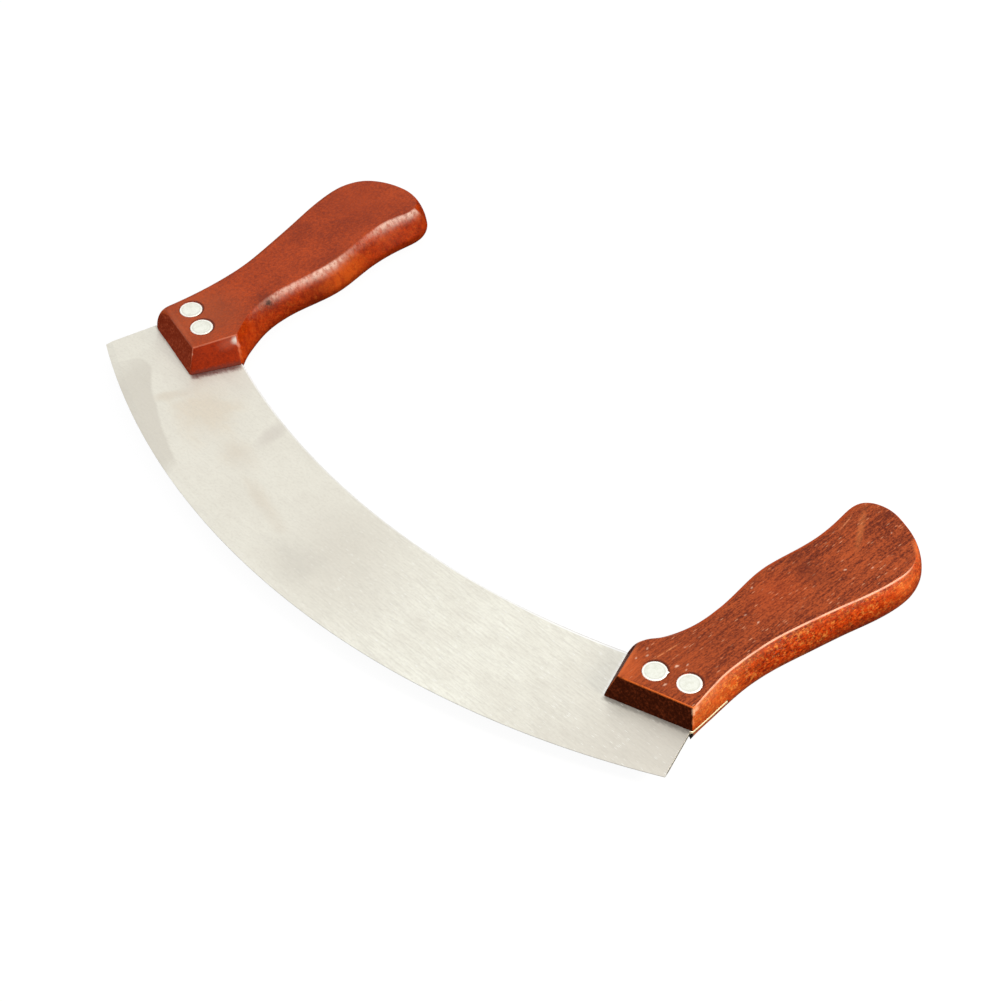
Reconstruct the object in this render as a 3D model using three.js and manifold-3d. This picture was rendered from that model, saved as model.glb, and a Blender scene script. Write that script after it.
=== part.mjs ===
// Two-handled nougat cutter: one long curved steel blade with a riveted wooden
// grip on each end. Millimetres, +Z up. The cutter lies flat on the undersides
// of its two grips, the blade level and clear of the surface.
//
// Plan coordinates used below: x from the mirror plane between the two grips,
// y from the lowest point of the cutting edge towards the grips' butts, z from
// the blade's mid-plane. The finished group is shifted so that its origin is
// the bottom centre of the whole cutter.

import * as THREE from 'three';
import { mergeVertices } from 'three/addons/utils/BufferGeometryUtils.js';
import Module from 'manifold-3d';

const wasm = await Module();
wasm.setup();

// ---------------------------------------------------------------- dimensions

// blade
const BLADE_THICKNESS = 1.2;
const BLADE_WIDTH = 44.8;        // edge to spine at the middle
const EDGE_RADIUS = 293;         // cutting edge, an arc that bulges away from the grips
const SPINE_RADIUS = 286.4;      // back of the blade
const TIP = [136.8, 33.9];       // corner where the cutting edge meets the end edge
const SPINE_END_X = 93;          // the spine runs into the grip's shoulder here
const BEVEL_WIDTH = 1.6;         // ground bevel along the cutting edge
const EDGE_LAND = 0.16;          // thickness left at the very edge

// grips
const GRIP_ABOVE = 8.2;          // wood above the blade's mid-plane
const GRIP_BELOW = 6.0;          // wood below it
const KERF = 1.6;                // saw cut that takes the tang
const KERF_SPARE = 1.2;          // how far the saw cut runs past the tang

// rivets: a pin half from above pressed into a sleeve half from below
const RIVET_HEAD_R = 4.0;
const RIVET_HEAD_T = 1.7;
const RIVET_DOME = 0.2;
const SLEEVE_R = 2.5;
const SLEEVE_BORE_R = 1.75;
const PIN_R = 1.6;
const HOLE_R = 2.8;              // through hole in wood and tang
const SEAT_R = 4.2;              // counterbore for a rivet head
const SEAT_DEPTH = 1.9;
const RIVETS = {
  right_inner: [110.2, 56.4],
  right_outer: [121.05, 60.3],
  left_inner: [-111.3, 57.6],
  left_outer: [-121.2, 60.8],
};

// Widest outline of the right grip, at the blade's level: from the shoulder up
// the finger side, round the butt and down the outer side to the front corner.
const GRIP_WIDE = [
  [93.2, 60.1], [95.9, 64.4], [98.6, 69.4], [102.2, 78.4], [103.8, 88.0],
  [103.1, 98.1], [101.7, 108.0], [101.9, 116.9], [103.4, 126.8], [104.0, 136.0],
  [103.5, 145.0], [103.1, 152.0], [104.8, 156.5], [108.4, 158.9], [112.3, 159.6],
  [116.8, 159.6], [121.4, 158.9], [126.0, 157.6], [130.5, 155.4], [134.7, 151.9],
  [137.7, 146.5], [139.0, 138.9], [137.8, 127.9], [135.1, 116.6], [132.4, 103.7],
  [129.95, 91.3], [128.85, 80.0], [129.2, 70.1], [130.0, 61.0], [130.65, 52.0],
];
// Edge of the flat top face, point for point opposite the widest outline.
const GRIP_FLAT = [
  [98.7, 62.8], [100.4, 65.0], [102.9, 69.0], [106.7, 78.5], [107.5, 89.0],
  [106.9, 98.0], [106.1, 108.0], [106.5, 117.0], [108.1, 126.9], [109.4, 135.9],
  [109.2, 143.5], [107.9, 149.0], [107.8, 153.2], [110.0, 156.4], [113.3, 157.9],
  [117.2, 158.3], [121.6, 157.6], [125.9, 156.0], [129.9, 153.6], [133.2, 150.2],
  [135.2, 145.5], [135.6, 139.2], [133.9, 128.6], [131.3, 116.8], [128.4, 103.9],
  [126.2, 91.4], [125.8, 80.0], [126.15, 70.1], [127.0, 61.2], [128.4, 54.4],
];
// Front inner corner of the grip's block: at the blade's level and on the flat top.
const FRONT_WIDE = [101.5, 43.7];
const FRONT_FLAT = [104.5, 47.4];
const FRONT_UNDER = [105.2, 48.3];

// Along the outline (position counted in outline points): how round the side is
// above and below the blade's level (1 = flat bevel, 2 = ellipse), and how far
// the underside's flat face sits in from the widest outline.
const ROUND_ABOVE = [[0, 1.2], [1, 1.6], [3, 2.3], [5, 2.6], [12, 2.6], [16, 2.4], [20, 2.0], [24, 1.7], [27, 1.5], [29, 1.2]];
const ROUND_BELOW = [[0, 1.2], [2, 1.7], [4, 2.0], [24, 2.0], [26, 1.6], [28, 1.2], [29, 1.1]];
const UNDER_INSET = [[0, 5.0], [2, 6.2], [4, 7.0], [12, 6.5], [15, 6.0], [20, 6.5], [24, 7.0], [26.5, 5.8], [28, 4.6], [29, 4.6]];
const FACET_ROUND = 1.15;        // the block's front and shoulder facets are almost flat

const GRIP_STEPS = 54;
const STEPS_ABOVE = 6;
const STEPS_BELOW = 4;
const ROUND_SEGMENTS = 24;

// ------------------------------------------------------------------- helpers

function ramp(table, t) {
  for (let i = 1; i < table.length; i += 1) {
    const [t0, v0] = table[i - 1];
    const [t1, v1] = table[i];
    if (t <= t1) return v0 + ((v1 - v0) * (t - t0)) / (t1 - t0);
  }
  return table[table.length - 1][1];
}

// Smooth curve through plan points; the parameter counts points.
function planCurve(points) {
  const curve = new THREE.CatmullRomCurve3(points.map(([x, y]) => new THREE.Vector3(x, y, 0)), false, 'catmullrom', 0.5);
  const last = points.length - 1;
  return (t) => {
    const p = curve.getPoint(t / last);
    return [p.x, p.y];
  };
}

const mix = (a, b, f) => [a[0] + (b[0] - a[0]) * f, a[1] + (b[1] - a[1]) * f];

// Position-only indexed geometry, merged, without collapsed triangles, facing out.
function closed(geometry) {
  const bare = geometry.clone();
  bare.deleteAttribute('normal');
  bare.deleteAttribute('uv');
  const merged = mergeVertices(bare, 1e-4);
  const position = merged.getAttribute('position');
  const index = merged.getIndex().array;
  let keep = [];
  let volume = 0;
  const a = new THREE.Vector3();
  const b = new THREE.Vector3();
  const c = new THREE.Vector3();
  for (let i = 0; i < index.length; i += 3) {
    const [p, q, r] = [index[i], index[i + 1], index[i + 2]];
    if (p === q || q === r || r === p) continue;
    keep.push(p, q, r);
    a.fromBufferAttribute(position, p);
    b.fromBufferAttribute(position, q);
    c.fromBufferAttribute(position, r);
    volume += a.dot(b.cross(c)) / 6;
  }
  if (volume < 0) {
    const flipped = [];
    for (let i = 0; i < keep.length; i += 3) flipped.push(keep[i], keep[i + 2], keep[i + 1]);
    keep = flipped;
  }
  merged.setIndex(keep);
  return merged;
}

function toSolid(geometry) {
  const g = closed(geometry);
  return new wasm.Manifold(new wasm.Mesh({
    numProp: 3,
    vertProperties: Float32Array.from(g.getAttribute('position').array),
    triVerts: Uint32Array.from(g.getIndex().array),
  }));
}

function toGeometry(solid) {
  const mesh = solid.getMesh();
  const g = new THREE.BufferGeometry();
  const xyz = new Float32Array((mesh.vertProperties.length / mesh.numProp) * 3);
  for (let i = 0; i < xyz.length / 3; i += 1) {
    for (let k = 0; k < 3; k += 1) xyz[i * 3 + k] = mesh.vertProperties[i * mesh.numProp + k];
  }
  g.setAttribute('position', new THREE.BufferAttribute(xyz, 3));
  g.setIndex(Array.from(mesh.triVerts));
  return g;
}

// Closed solid from a stack of rings, each a list of [x, y, z] with one count.
function ringSolid(rings) {
  const n = rings[0].length;
  const position = rings.flat(2);
  const index = [];
  for (let k = 0; k + 1 < rings.length; k += 1) {
    for (let i = 0; i < n; i += 1) {
      const j = (i + 1) % n;
      const [a, b, c, d] = [k * n + i, k * n + j, (k + 1) * n + j, (k + 1) * n + i];
      index.push(a, b, c, a, c, d);
    }
  }
  const cap = (ring, base, up) => {
    const flat = ring.map(([x, y]) => new THREE.Vector2(x, y));
    for (const [p, q, r] of THREE.ShapeUtils.triangulateShape(flat, [])) {
      if (up) index.push(base + p, base + q, base + r);
      else index.push(base + p, base + r, base + q);
    }
  };
  cap(rings[0], 0, false);
  cap(rings[rings.length - 1], (rings.length - 1) * n, true);
  const g = new THREE.BufferGeometry();
  g.setAttribute('position', new THREE.Float32BufferAttribute(position, 3));
  g.setIndex(index);
  return g;
}

// Turned piece about a vertical axis at (x, y); the profile lists [radius, z].
function turned(profile, [x, y]) {
  const g = new THREE.LatheGeometry(profile.map(([r, z]) => new THREE.Vector2(r, z)), ROUND_SEGMENTS);
  g.rotateX(Math.PI / 2);
  g.translate(x, y, 0);
  return g;
}

// --------------------------------------------------------------------- grips

const wideAt = planCurve(GRIP_WIDE);
const flatAt = planCurve(GRIP_FLAT);
const LAST = GRIP_WIDE.length - 1;

function underAt(t) {
  const w = wideAt(t);
  const f = flatAt(t);
  const run = Math.hypot(f[0] - w[0], f[1] - w[1]);
  return mix(w, f, ramp(UNDER_INSET, t) / run);
}

// One column per outline point: widest point, flat-top point, underside point, roundness.
function gripColumns() {
  const columns = [];
  for (let i = 0; i <= GRIP_STEPS; i += 1) {
    const t = (LAST * i) / GRIP_STEPS;
    columns.push({
      wide: wideAt(t), flat: flatAt(t), under: underAt(t), above: ramp(ROUND_ABOVE, t), below: ramp(ROUND_BELOW, t),
    });
  }
  const shoulder = columns[0];
  const outer = columns[columns.length - 1];
  const inner = { wide: FRONT_WIDE, flat: FRONT_FLAT, under: FRONT_UNDER, above: FACET_ROUND, below: FACET_ROUND };
  const between = (p, q, f) => ({
    wide: mix(p.wide, q.wide, f), flat: mix(p.flat, q.flat, f), under: mix(p.under, q.under, f), above: FACET_ROUND, below: FACET_ROUND,
  });
  columns.push(between(outer, inner, 1 / 3), between(outer, inner, 2 / 3), inner, between(inner, shoulder, 0.5));
  return columns;
}

function gripBlank(side) {
  const columns = gripColumns();
  if (side > 0) columns.reverse();
  const rings = [];
  for (let k = STEPS_BELOW; k >= 1; k -= 1) {
    const a = (Math.PI / 2) * (k / STEPS_BELOW);
    rings.push(columns.map((c) => {
      const f = k === STEPS_BELOW ? 1 : 1 - Math.cos(a) ** (2 / c.below);
      const p = mix(c.wide, c.under, f);
      return [side * p[0], p[1], -GRIP_BELOW * Math.sin(a) ** (2 / c.below)];
    }));
  }
  for (let k = 0; k <= STEPS_ABOVE; k += 1) {
    const a = (Math.PI / 2) * (k / STEPS_ABOVE);
    rings.push(columns.map((c) => {
      const f = k === STEPS_ABOVE ? 1 : 1 - Math.cos(a) ** (2 / c.above);
      const p = mix(c.wide, c.flat, f);
      return [side * p[0], p[1], GRIP_ABOVE * Math.sin(a) ** (2 / c.above)];
    }));
  }
  return toSolid(ringSolid(rings));
}

// ----------------------------------------------------------- blade's outline

const edgeY = (x) => EDGE_RADIUS - Math.sqrt(EDGE_RADIUS ** 2 - x ** 2);
const spineY = (x) => BLADE_WIDTH + SPINE_RADIUS - Math.sqrt(SPINE_RADIUS ** 2 - x ** 2);

const TANG_TOP_T = 27.15;        // outline position where the tang's outer edge ends
const tangCorner = wideAt(TANG_TOP_T);
const spineEnd = [SPINE_END_X, spineY(SPINE_END_X)];

// back end of the saw cut: parallel to the tang's top edge, a little behind it
const tangRun = Math.hypot(tangCorner[0] - spineEnd[0], tangCorner[1] - spineEnd[1]);
const tangDir = [(tangCorner[0] - spineEnd[0]) / tangRun, (tangCorner[1] - spineEnd[1]) / tangRun];
const kerfPoint = (s) => [
  spineEnd[0] + tangDir[0] * s - tangDir[1] * KERF_SPARE,
  spineEnd[1] + tangDir[1] * s + tangDir[0] * KERF_SPARE,
];

function kerfCutter(side) {
  const far = kerfPoint(60);
  const near = kerfPoint(-25);
  const outline = [[near[0], 20], [far[0], 20], far, near].map(([x, y]) => new THREE.Vector2(side * x, y));
  const g = new THREE.ExtrudeGeometry(new THREE.Shape(outline), { depth: KERF, bevelEnabled: false });
  g.translate(0, 0, -KERF / 2);
  return toSolid(g);
}

function rivetBore(place) {
  const [low, high] = [-GRIP_BELOW, GRIP_ABOVE];
  return toSolid(turned([
    [0, low - 1], [SEAT_R, low - 1], [SEAT_R, low + SEAT_DEPTH], [HOLE_R, low + SEAT_DEPTH],
    [HOLE_R, high - SEAT_DEPTH], [SEAT_R, high - SEAT_DEPTH], [SEAT_R, high + 1], [0, high + 1],
  ], place));
}

function grip(side) {
  const word = side > 0 ? 'right' : 'left';
  let solid = gripBlank(side).subtract(kerfCutter(side));
  for (const end of ['inner', 'outer']) solid = solid.subtract(rivetBore(RIVETS[`${word}_${end}`]));
  return toGeometry(solid);
}

// --------------------------------------------------------------------- blade

function bladeGeometry() {
  const half = BLADE_THICKNESS / 2;
  const endRun = Math.hypot(wideAt(LAST)[0] - TIP[0], wideAt(LAST)[1] - TIP[1]);
  // outline, counter-clockwise from the left tip; edge = on the cutting edge
  const points = [];
  const EDGE_STEPS = 48;
  for (let i = 0; i <= EDGE_STEPS; i += 1) {
    const x = TIP[0] * (-1 + (2 * i) / EDGE_STEPS);
    const tip = i === 0 || i === EDGE_STEPS;
    const y = tip ? TIP[1] : edgeY(x);
    let inner;
    if (tip) {
      const toGrip = mix(TIP, wideAt(LAST), (BEVEL_WIDTH * 1.05) / endRun);
      inner = [Math.sign(x) * toGrip[0], toGrip[1]];
    } else {
      const f = BEVEL_WIDTH / EDGE_RADIUS;
      inner = [x * (1 - f), y + (EDGE_RADIUS - y) * f];
    }
    points.push({ sharp: [x, y], inner });
  }
  const plain = (p) => points.push({ sharp: p, inner: p });
  const tang = [29, 28.4, 27.8, TANG_TOP_T].map((t) => wideAt(t));
  for (const p of tang) plain(p);
  const SPINE_STEPS = 32;
  for (let i = 0; i <= SPINE_STEPS; i += 1) {
    const x = SPINE_END_X * (1 - (2 * i) / SPINE_STEPS);
    plain([x, spineY(x)]);
  }
  for (const p of tang.reverse()) plain([-p[0], p[1]]);
  const ring = (key, z) => points.map((p) => [...p[key], z]);
  const blank = toSolid(ringSolid([
    ring('inner', -half), ring('sharp', -EDGE_LAND / 2), ring('sharp', EDGE_LAND / 2), ring('inner', half),
  ]));
  let solid = blank;
  for (const place of Object.values(RIVETS)) {
    solid = solid.subtract(toSolid(turned([[0, -2], [HOLE_R, -2], [HOLE_R, 2], [0, 2]], place)));
  }
  return toGeometry(solid);
}

// -------------------------------------------------------------------- rivets

function pinHalf(place) {
  const rim = GRIP_ABOVE - 0.1;
  const under = rim - RIVET_HEAD_T;
  return closed(turned([
    [0, -3.0], [PIN_R - 0.3, -3.0], [PIN_R, -2.5], [PIN_R, under], [RIVET_HEAD_R, under],
    [RIVET_HEAD_R, rim - 0.15], [RIVET_HEAD_R - 0.35, rim], [0, rim + RIVET_DOME],
  ], place));
}

function sleeveHalf(place) {
  const face = -GRIP_BELOW + 0.1;
  const under = face + RIVET_HEAD_T;
  return closed(turned([
    [0, face], [RIVET_HEAD_R - 0.35, face], [RIVET_HEAD_R, face + 0.25], [RIVET_HEAD_R, under],
    [SLEEVE_R, under], [SLEEVE_R, 5.9], [SLEEVE_BORE_R, 5.9], [SLEEVE_BORE_R, -3.6], [0, -3.6],
  ], place));
}

// ------------------------------------------------------------------ assembly

const steel = () => new THREE.MeshStandardMaterial({ color: 0xd9d5ca, roughness: 0.38, metalness: 1.0 });
const wood = () => new THREE.MeshStandardMaterial({ color: 0xa34a2b, roughness: 0.5, metalness: 0.0 });
const aluminium = () => new THREE.MeshStandardMaterial({ color: 0xeeeee6, roughness: 0.3, metalness: 1.0 });

const cutter = new THREE.Group();

function addPiece(name, geometry, material) {
  const mesh = new THREE.Mesh(geometry, material);
  mesh.name = name;
  cutter.add(mesh);
}

addPiece('blade', bladeGeometry(), steel());
addPiece('left_handle', grip(-1), wood());
addPiece('right_handle', grip(1), wood());
for (const [where, place] of Object.entries(RIVETS)) {
  addPiece(`rivet_pin_${where}`, pinHalf(place), aluminium());
  addPiece(`rivet_sleeve_${where}`, sleeveHalf(place), aluminium());
}

// origin at the bottom centre of the cutter's bounding box
cutter.updateMatrixWorld(true);
const box = new THREE.Box3().setFromObject(cutter, true);
cutter.position.set(0, -(box.min.y + box.max.y) / 2, GRIP_BELOW);
cutter.updateMatrixWorld(true);

export default cutter;
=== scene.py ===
import math

import bmesh
import bpy
import numpy as np
from mathutils import Matrix, Vector, kdtree


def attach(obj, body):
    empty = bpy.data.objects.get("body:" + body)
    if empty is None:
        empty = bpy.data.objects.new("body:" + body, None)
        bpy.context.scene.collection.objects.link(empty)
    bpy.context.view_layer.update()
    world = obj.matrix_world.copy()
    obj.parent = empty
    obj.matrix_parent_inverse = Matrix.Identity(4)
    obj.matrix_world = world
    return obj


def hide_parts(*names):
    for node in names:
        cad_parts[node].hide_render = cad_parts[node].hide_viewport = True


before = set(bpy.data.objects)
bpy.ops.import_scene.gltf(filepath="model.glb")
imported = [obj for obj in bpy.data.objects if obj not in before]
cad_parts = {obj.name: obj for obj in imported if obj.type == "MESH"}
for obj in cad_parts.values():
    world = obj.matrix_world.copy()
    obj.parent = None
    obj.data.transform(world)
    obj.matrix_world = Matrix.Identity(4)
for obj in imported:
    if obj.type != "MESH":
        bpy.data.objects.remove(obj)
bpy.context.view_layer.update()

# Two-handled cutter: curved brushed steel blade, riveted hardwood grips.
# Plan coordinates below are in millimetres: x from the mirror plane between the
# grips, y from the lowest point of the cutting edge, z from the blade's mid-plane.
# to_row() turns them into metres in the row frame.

SHIFT = np.array([0.0, -79.844, 6.0])


def to_row(points):
    return (np.asarray(points, float) + SHIFT) * 0.001


# ------------------------------------------------------------------ dimensions

BLADE_HALF = 0.6
BLADE_WIDTH = 44.8
EDGE_RADIUS = 293.0
SPINE_RADIUS = 286.4
TIP = np.array([136.8, 33.9])
LEFT_TIP = np.array([-135.45, 33.19])
HEEL = np.array([129.95, 51.8])
SPINE_END_X = 93.0
BEVEL_WIDTH = 2.4
EDGE_LAND = 0.16

GRIP_ABOVE = 8.2
GRIP_BELOW = 6.0
KERF = 1.3
KERF_SPARE = 0.3
TANG_TOP_T = 27.15

HEAD_R = 4.0
SEAT_R = 4.1
HOLE_R = 2.8
SLEEVE_R = 2.5
BORE_R = 1.75
PIN_R = 1.6
RIVETS = {
    "right_inner": (110.2, 56.4),
    "right_outer": (121.05, 60.3),
    "left_inner": (-111.3, 57.6),
    "left_outer": (-121.2, 60.8),
}

GRIP_WIDE = [
    (93.2, 60.1), (95.9, 64.4), (98.6, 69.4), (102.2, 78.4), (103.8, 88.0),
    (103.1, 98.1), (101.7, 108.0), (101.9, 116.9), (103.4, 126.8), (104.0, 136.0),
    (103.5, 145.0), (103.1, 152.0), (104.8, 156.5), (108.4, 158.9), (112.3, 159.6),
    (116.8, 159.6), (121.4, 158.9), (126.0, 157.6), (130.5, 155.4), (134.7, 151.9),
    (137.7, 146.5), (139.0, 138.9), (137.8, 127.9), (135.1, 116.6), (132.4, 103.7),
    (129.95, 91.3), (128.85, 80.0), (129.2, 70.1), (130.0, 61.0), (130.65, 52.0),
]
GRIP_FLAT = [
    (98.7, 62.8), (100.4, 65.0), (102.9, 69.0), (106.7, 78.5), (107.5, 89.0),
    (106.9, 98.0), (106.1, 108.0), (106.5, 117.0), (108.1, 126.9), (109.4, 135.9),
    (109.2, 143.5), (107.9, 149.0), (107.8, 153.2), (110.0, 156.4), (113.3, 157.9),
    (117.2, 158.3), (121.6, 157.6), (125.9, 156.0), (129.9, 153.6), (133.2, 150.2),
    (135.2, 145.5), (135.6, 139.2), (133.9, 128.6), (131.3, 116.8), (128.4, 103.9),
    (126.2, 91.4), (125.8, 80.0), (126.15, 70.1), (127.0, 61.2), (128.4, 54.4),
]
FRONT_UNDER = np.array([105.2, 48.3])
# how far a side leans in where it meets the top face, degrees from upright
LEAN = [(0, 36), (1, 39), (3, 42), (5, 42), (12, 42), (16, 42), (20, 36), (24, 31), (27, 29), (29, 27)]
# 1 where the side is one even curve, 0 where it starts upright at the widest line
EVEN = [(0, 1), (12, 1), (15, 0), (29, 0)]
FACET_LEAN = 1.5
# where a side is rounded over without a crease, the power of its superellipse, and its share of the shape
ROUND_ABOVE = [(0, 1.4), (1, 1.7), (3, 2.3), (5, 2.6), (12, 2.6), (16, 2.4), (20, 2.2), (24, 2.0), (29, 1.9)]
# the two grips were shaped by hand and differ a little
GRIPS = {
    "left": dict(
        side=-1, flat={0: (99.8, 64.1)}, wide={28: (130.35, 60.9), 29: (131.25, 51.5)}, front_flat=(105.05, 48.7), front_wide=(101.5, 43.7),
        corners=(1.9, 0.45, 0.5), share=[(0, 0), (13, 0), (17, 1), (29, 1)], facet_share=(1.0, 0.30),
        # next table: the worn line on the crest along the length, partly a painted highlight
        rub_and_highlight=[(0, 0.4), (1.5, 0.3), (3, 0.2), (29, 0.2)],
        chin=0.0, front_rub_and_highlight=0.62, shoulder_rub_and_highlight=0.8, far=0.85,
        # next table: strength of the painted highlight band under the crest, along the length
        crest_highlight=[(2.2, 0), (3.0, 0.14), (3.5, 0.24), (3.7, 0.55), (4.2, 0.60), (5, 0.55), (5.5, 0.70), (6.2, 1.0), (6.8, 0.80), (7.2, 0.34), (8, 0.16), (8.6, 0.30), (9.2, 0.75), (9.8, 0.80), (10.3, 0.55), (11, 0.75), (11.4, 1.0), (11.9, 1.0), (12.0, 0.8), (12.15, 0)],
    ),
    "right": dict(
        side=1, flat={0: (98.3, 61.0), 1: (99.8, 64.7), 11: (107.2, 149.4), 12: (106.7, 154.0), 13: (109.1, 157.2), 14: (112.7, 158.8), 15: (116.9, 158.9), 20: (135.7, 145.7), 21: (136.45, 139.3), 22: (134.9, 128.5), 23: (131.95, 116.7), 24: (128.9, 103.8), 25: (126.55, 91.4), 26: (125.8, 80.0), 27: (126.0, 70.1), 28: (127.4, 61.15), 29: (128.65, 54.35)},
        wide={0: (94.4, 60.4)}, front_flat=(103.45, 47.04), front_wide=(101.6, 42.9),
        corners=(0.45, 0.45, 0.5), share=[(0, 0), (1.5, 0.2), (4, 1), (13, 1), (17, 0), (29, 0)], facet_share=(0.0, 0.3),
        # next table: the worn line on the crest along the length, partly a painted highlight
        rub_and_highlight=[(0, 1), (17, 0), (19.2, 0.25), (20.2, 0.62), (21.2, 0.9), (22.5, 1), (29, 1)],
        chin=1.15, front_rub_and_highlight=0.9, shoulder_rub_and_highlight=0.5, far=1.0,
        # next table: strength of the painted highlight band under the crest, along the length
        crest_highlight=[(18, 0), (19.5, 0.03), (20.5, 0.1), (23, 0.06), (24, 0.05), (26, 0.12), (28.5, 0.2), (29, 0.2)],
    ),
}
ROUND_BELOW = [(0, 1.2), (2, 1.7), (4, 2.0), (24, 2.0), (26, 1.85), (28, 1.74), (29, 1.7)]
UNDER_INSET = [(0, 5.0), (2, 6.2), (4, 7.0), (12, 6.5), (15, 6.0), (20, 6.5), (24, 7.0), (26.5, 5.8), (28, 4.6), (29, 4.6)]
FACET_ROUND = 1.15
# how soft the crease round the top face is, mm
CREASE = [(0, 0.30), (2, 0.24), (12, 0.24), (16, 0.34), (20, 0.46), (27, 0.46), (29, 0.40)]
FACET_CREASE = 0.32

# ---------------------------------------------------------------------- helpers


def ramp(table, t):
    return np.interp(t, [a for a, _ in table], [b for _, b in table])


def spline(points):
    """Natural cubic curve through the points; the parameter counts points."""
    p = np.asarray(points, float)
    n = len(p)
    a = np.zeros((n, n))
    b = np.zeros_like(p)
    a[0, 0] = a[-1, -1] = 1
    for i in range(1, n - 1):
        a[i, i - 1 : i + 2] = 1, 4, 1
        b[i] = 6 * (p[i - 1] - 2 * p[i] + p[i + 1])
    m = np.linalg.solve(a, b)

    def at(t):
        t = np.asarray(t, float)
        i = np.clip(np.floor(t).astype(int), 0, n - 2)
        f = (t - i)[..., None]
        g = 1 - f
        return g * p[i] + f * p[i + 1] + ((g**3 - g) * m[i] + (f**3 - f) * m[i + 1]) / 6

    return at


wide_at = spline(GRIP_WIDE)
LAST = len(GRIP_WIDE) - 1


def edge_y(x):
    return EDGE_RADIUS - np.sqrt(EDGE_RADIUS**2 - np.asarray(x, float) ** 2)


def spine_y(x):
    return BLADE_WIDTH + SPINE_RADIUS - np.sqrt(SPINE_RADIUS**2 - np.asarray(x, float) ** 2)


def new_object(name, verts, faces):
    mesh = bpy.data.meshes.new(name)
    mesh.from_pydata([tuple(v) for v in to_row(verts)], [], [tuple(int(i) for i in f) for f in faces])
    mesh.validate()
    obj = bpy.data.objects.new(name, mesh)
    bpy.context.scene.collection.objects.link(obj)
    bm = bmesh.new()
    bm.from_mesh(mesh)
    bmesh.ops.recalc_face_normals(bm, faces=bm.faces)
    bm.to_mesh(mesh)
    bm.free()
    return obj


def ring_faces(levels, n, caps=True):
    faces = []
    for k in range(levels - 1):
        for i in range(n):
            j = (i + 1) % n
            faces.append((k * n + i, k * n + j, (k + 1) * n + j, (k + 1) * n + i))
    if caps:
        faces.append(tuple(range(n - 1, -1, -1)))
        faces.append(tuple((levels - 1) * n + i for i in range(n)))
    return faces


def turned(name, profile, place, segments=96, wobble=None):
    """Closed turned solid about a vertical axis; the profile lists (radius, z) from axis to axis."""
    inner = profile[1:-1]
    verts = []
    for r, z in inner:
        for i in range(segments):
            a = 2 * math.pi * i / segments
            rr, zz = (r, z) if wobble is None else wobble(r, z, a)
            verts.append((place[0] + rr * math.cos(a), place[1] + rr * math.sin(a), zz))
    faces = ring_faces(len(inner), segments, caps=False)
    low, high = len(verts), len(verts) + 1
    verts += [(place[0], place[1], profile[0][1]), (place[0], place[1], profile[-1][1])]
    top = (len(inner) - 1) * segments
    for i in range(segments):
        j = (i + 1) % segments
        faces.append((low, j, i))
        faces.append((high, top + i, top + j))
    obj = new_object(name, verts, faces)
    attr = obj.data.attributes.new("radius", "FLOAT", "POINT")
    plan = np.array(verts)[:, :2] - np.array(place)
    attr.data.foreach_set("value", np.linalg.norm(plan, axis=1).astype(np.float32))
    return obj


def cut(obj, cutters):
    for c in cutters:
        mod = obj.modifiers.new("cut", "BOOLEAN")
        mod.operation = "DIFFERENCE"
        mod.solver = "EXACT"
        mod.object = c
    graph = bpy.context.evaluated_depsgraph_get()
    graph.update()
    mesh = bpy.data.meshes.new_from_object(obj.evaluated_get(graph))
    obj.modifiers.clear()
    old = obj.data
    obj.data = mesh
    mesh.name = obj.name
    bpy.data.meshes.remove(old)
    for c in cutters:
        data = c.data
        bpy.data.objects.remove(c)
        bpy.data.meshes.remove(data)


def shade(obj, angle=30.0):
    """Smooth shading with edges sharper than the angle kept crisp."""
    bm = bmesh.new()
    bm.from_mesh(obj.data)
    bmesh.ops.remove_doubles(bm, verts=bm.verts, dist=1e-7)
    limit = math.radians(angle)
    for f in bm.faces:
        f.smooth = True
    for e in bm.edges:
        e.smooth = len(e.link_faces) == 2 and e.calc_face_angle(0.0) < limit
    bm.to_mesh(obj.data)
    bm.free()


# ------------------------------------------------------------------------ grips

SMOOTH_STEPS = 90


def gauss_rows(s, sigma):
    """Weights that average a polyline over its own arc length s, sigma given per point."""
    step = np.gradient(s)
    w = np.exp(-0.5 * ((s[:, None] - s[None, :]) / np.maximum(sigma, 1e-4)[:, None]) ** 2) * step[None, :]
    return w / w.sum(1, keepdims=True)


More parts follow.
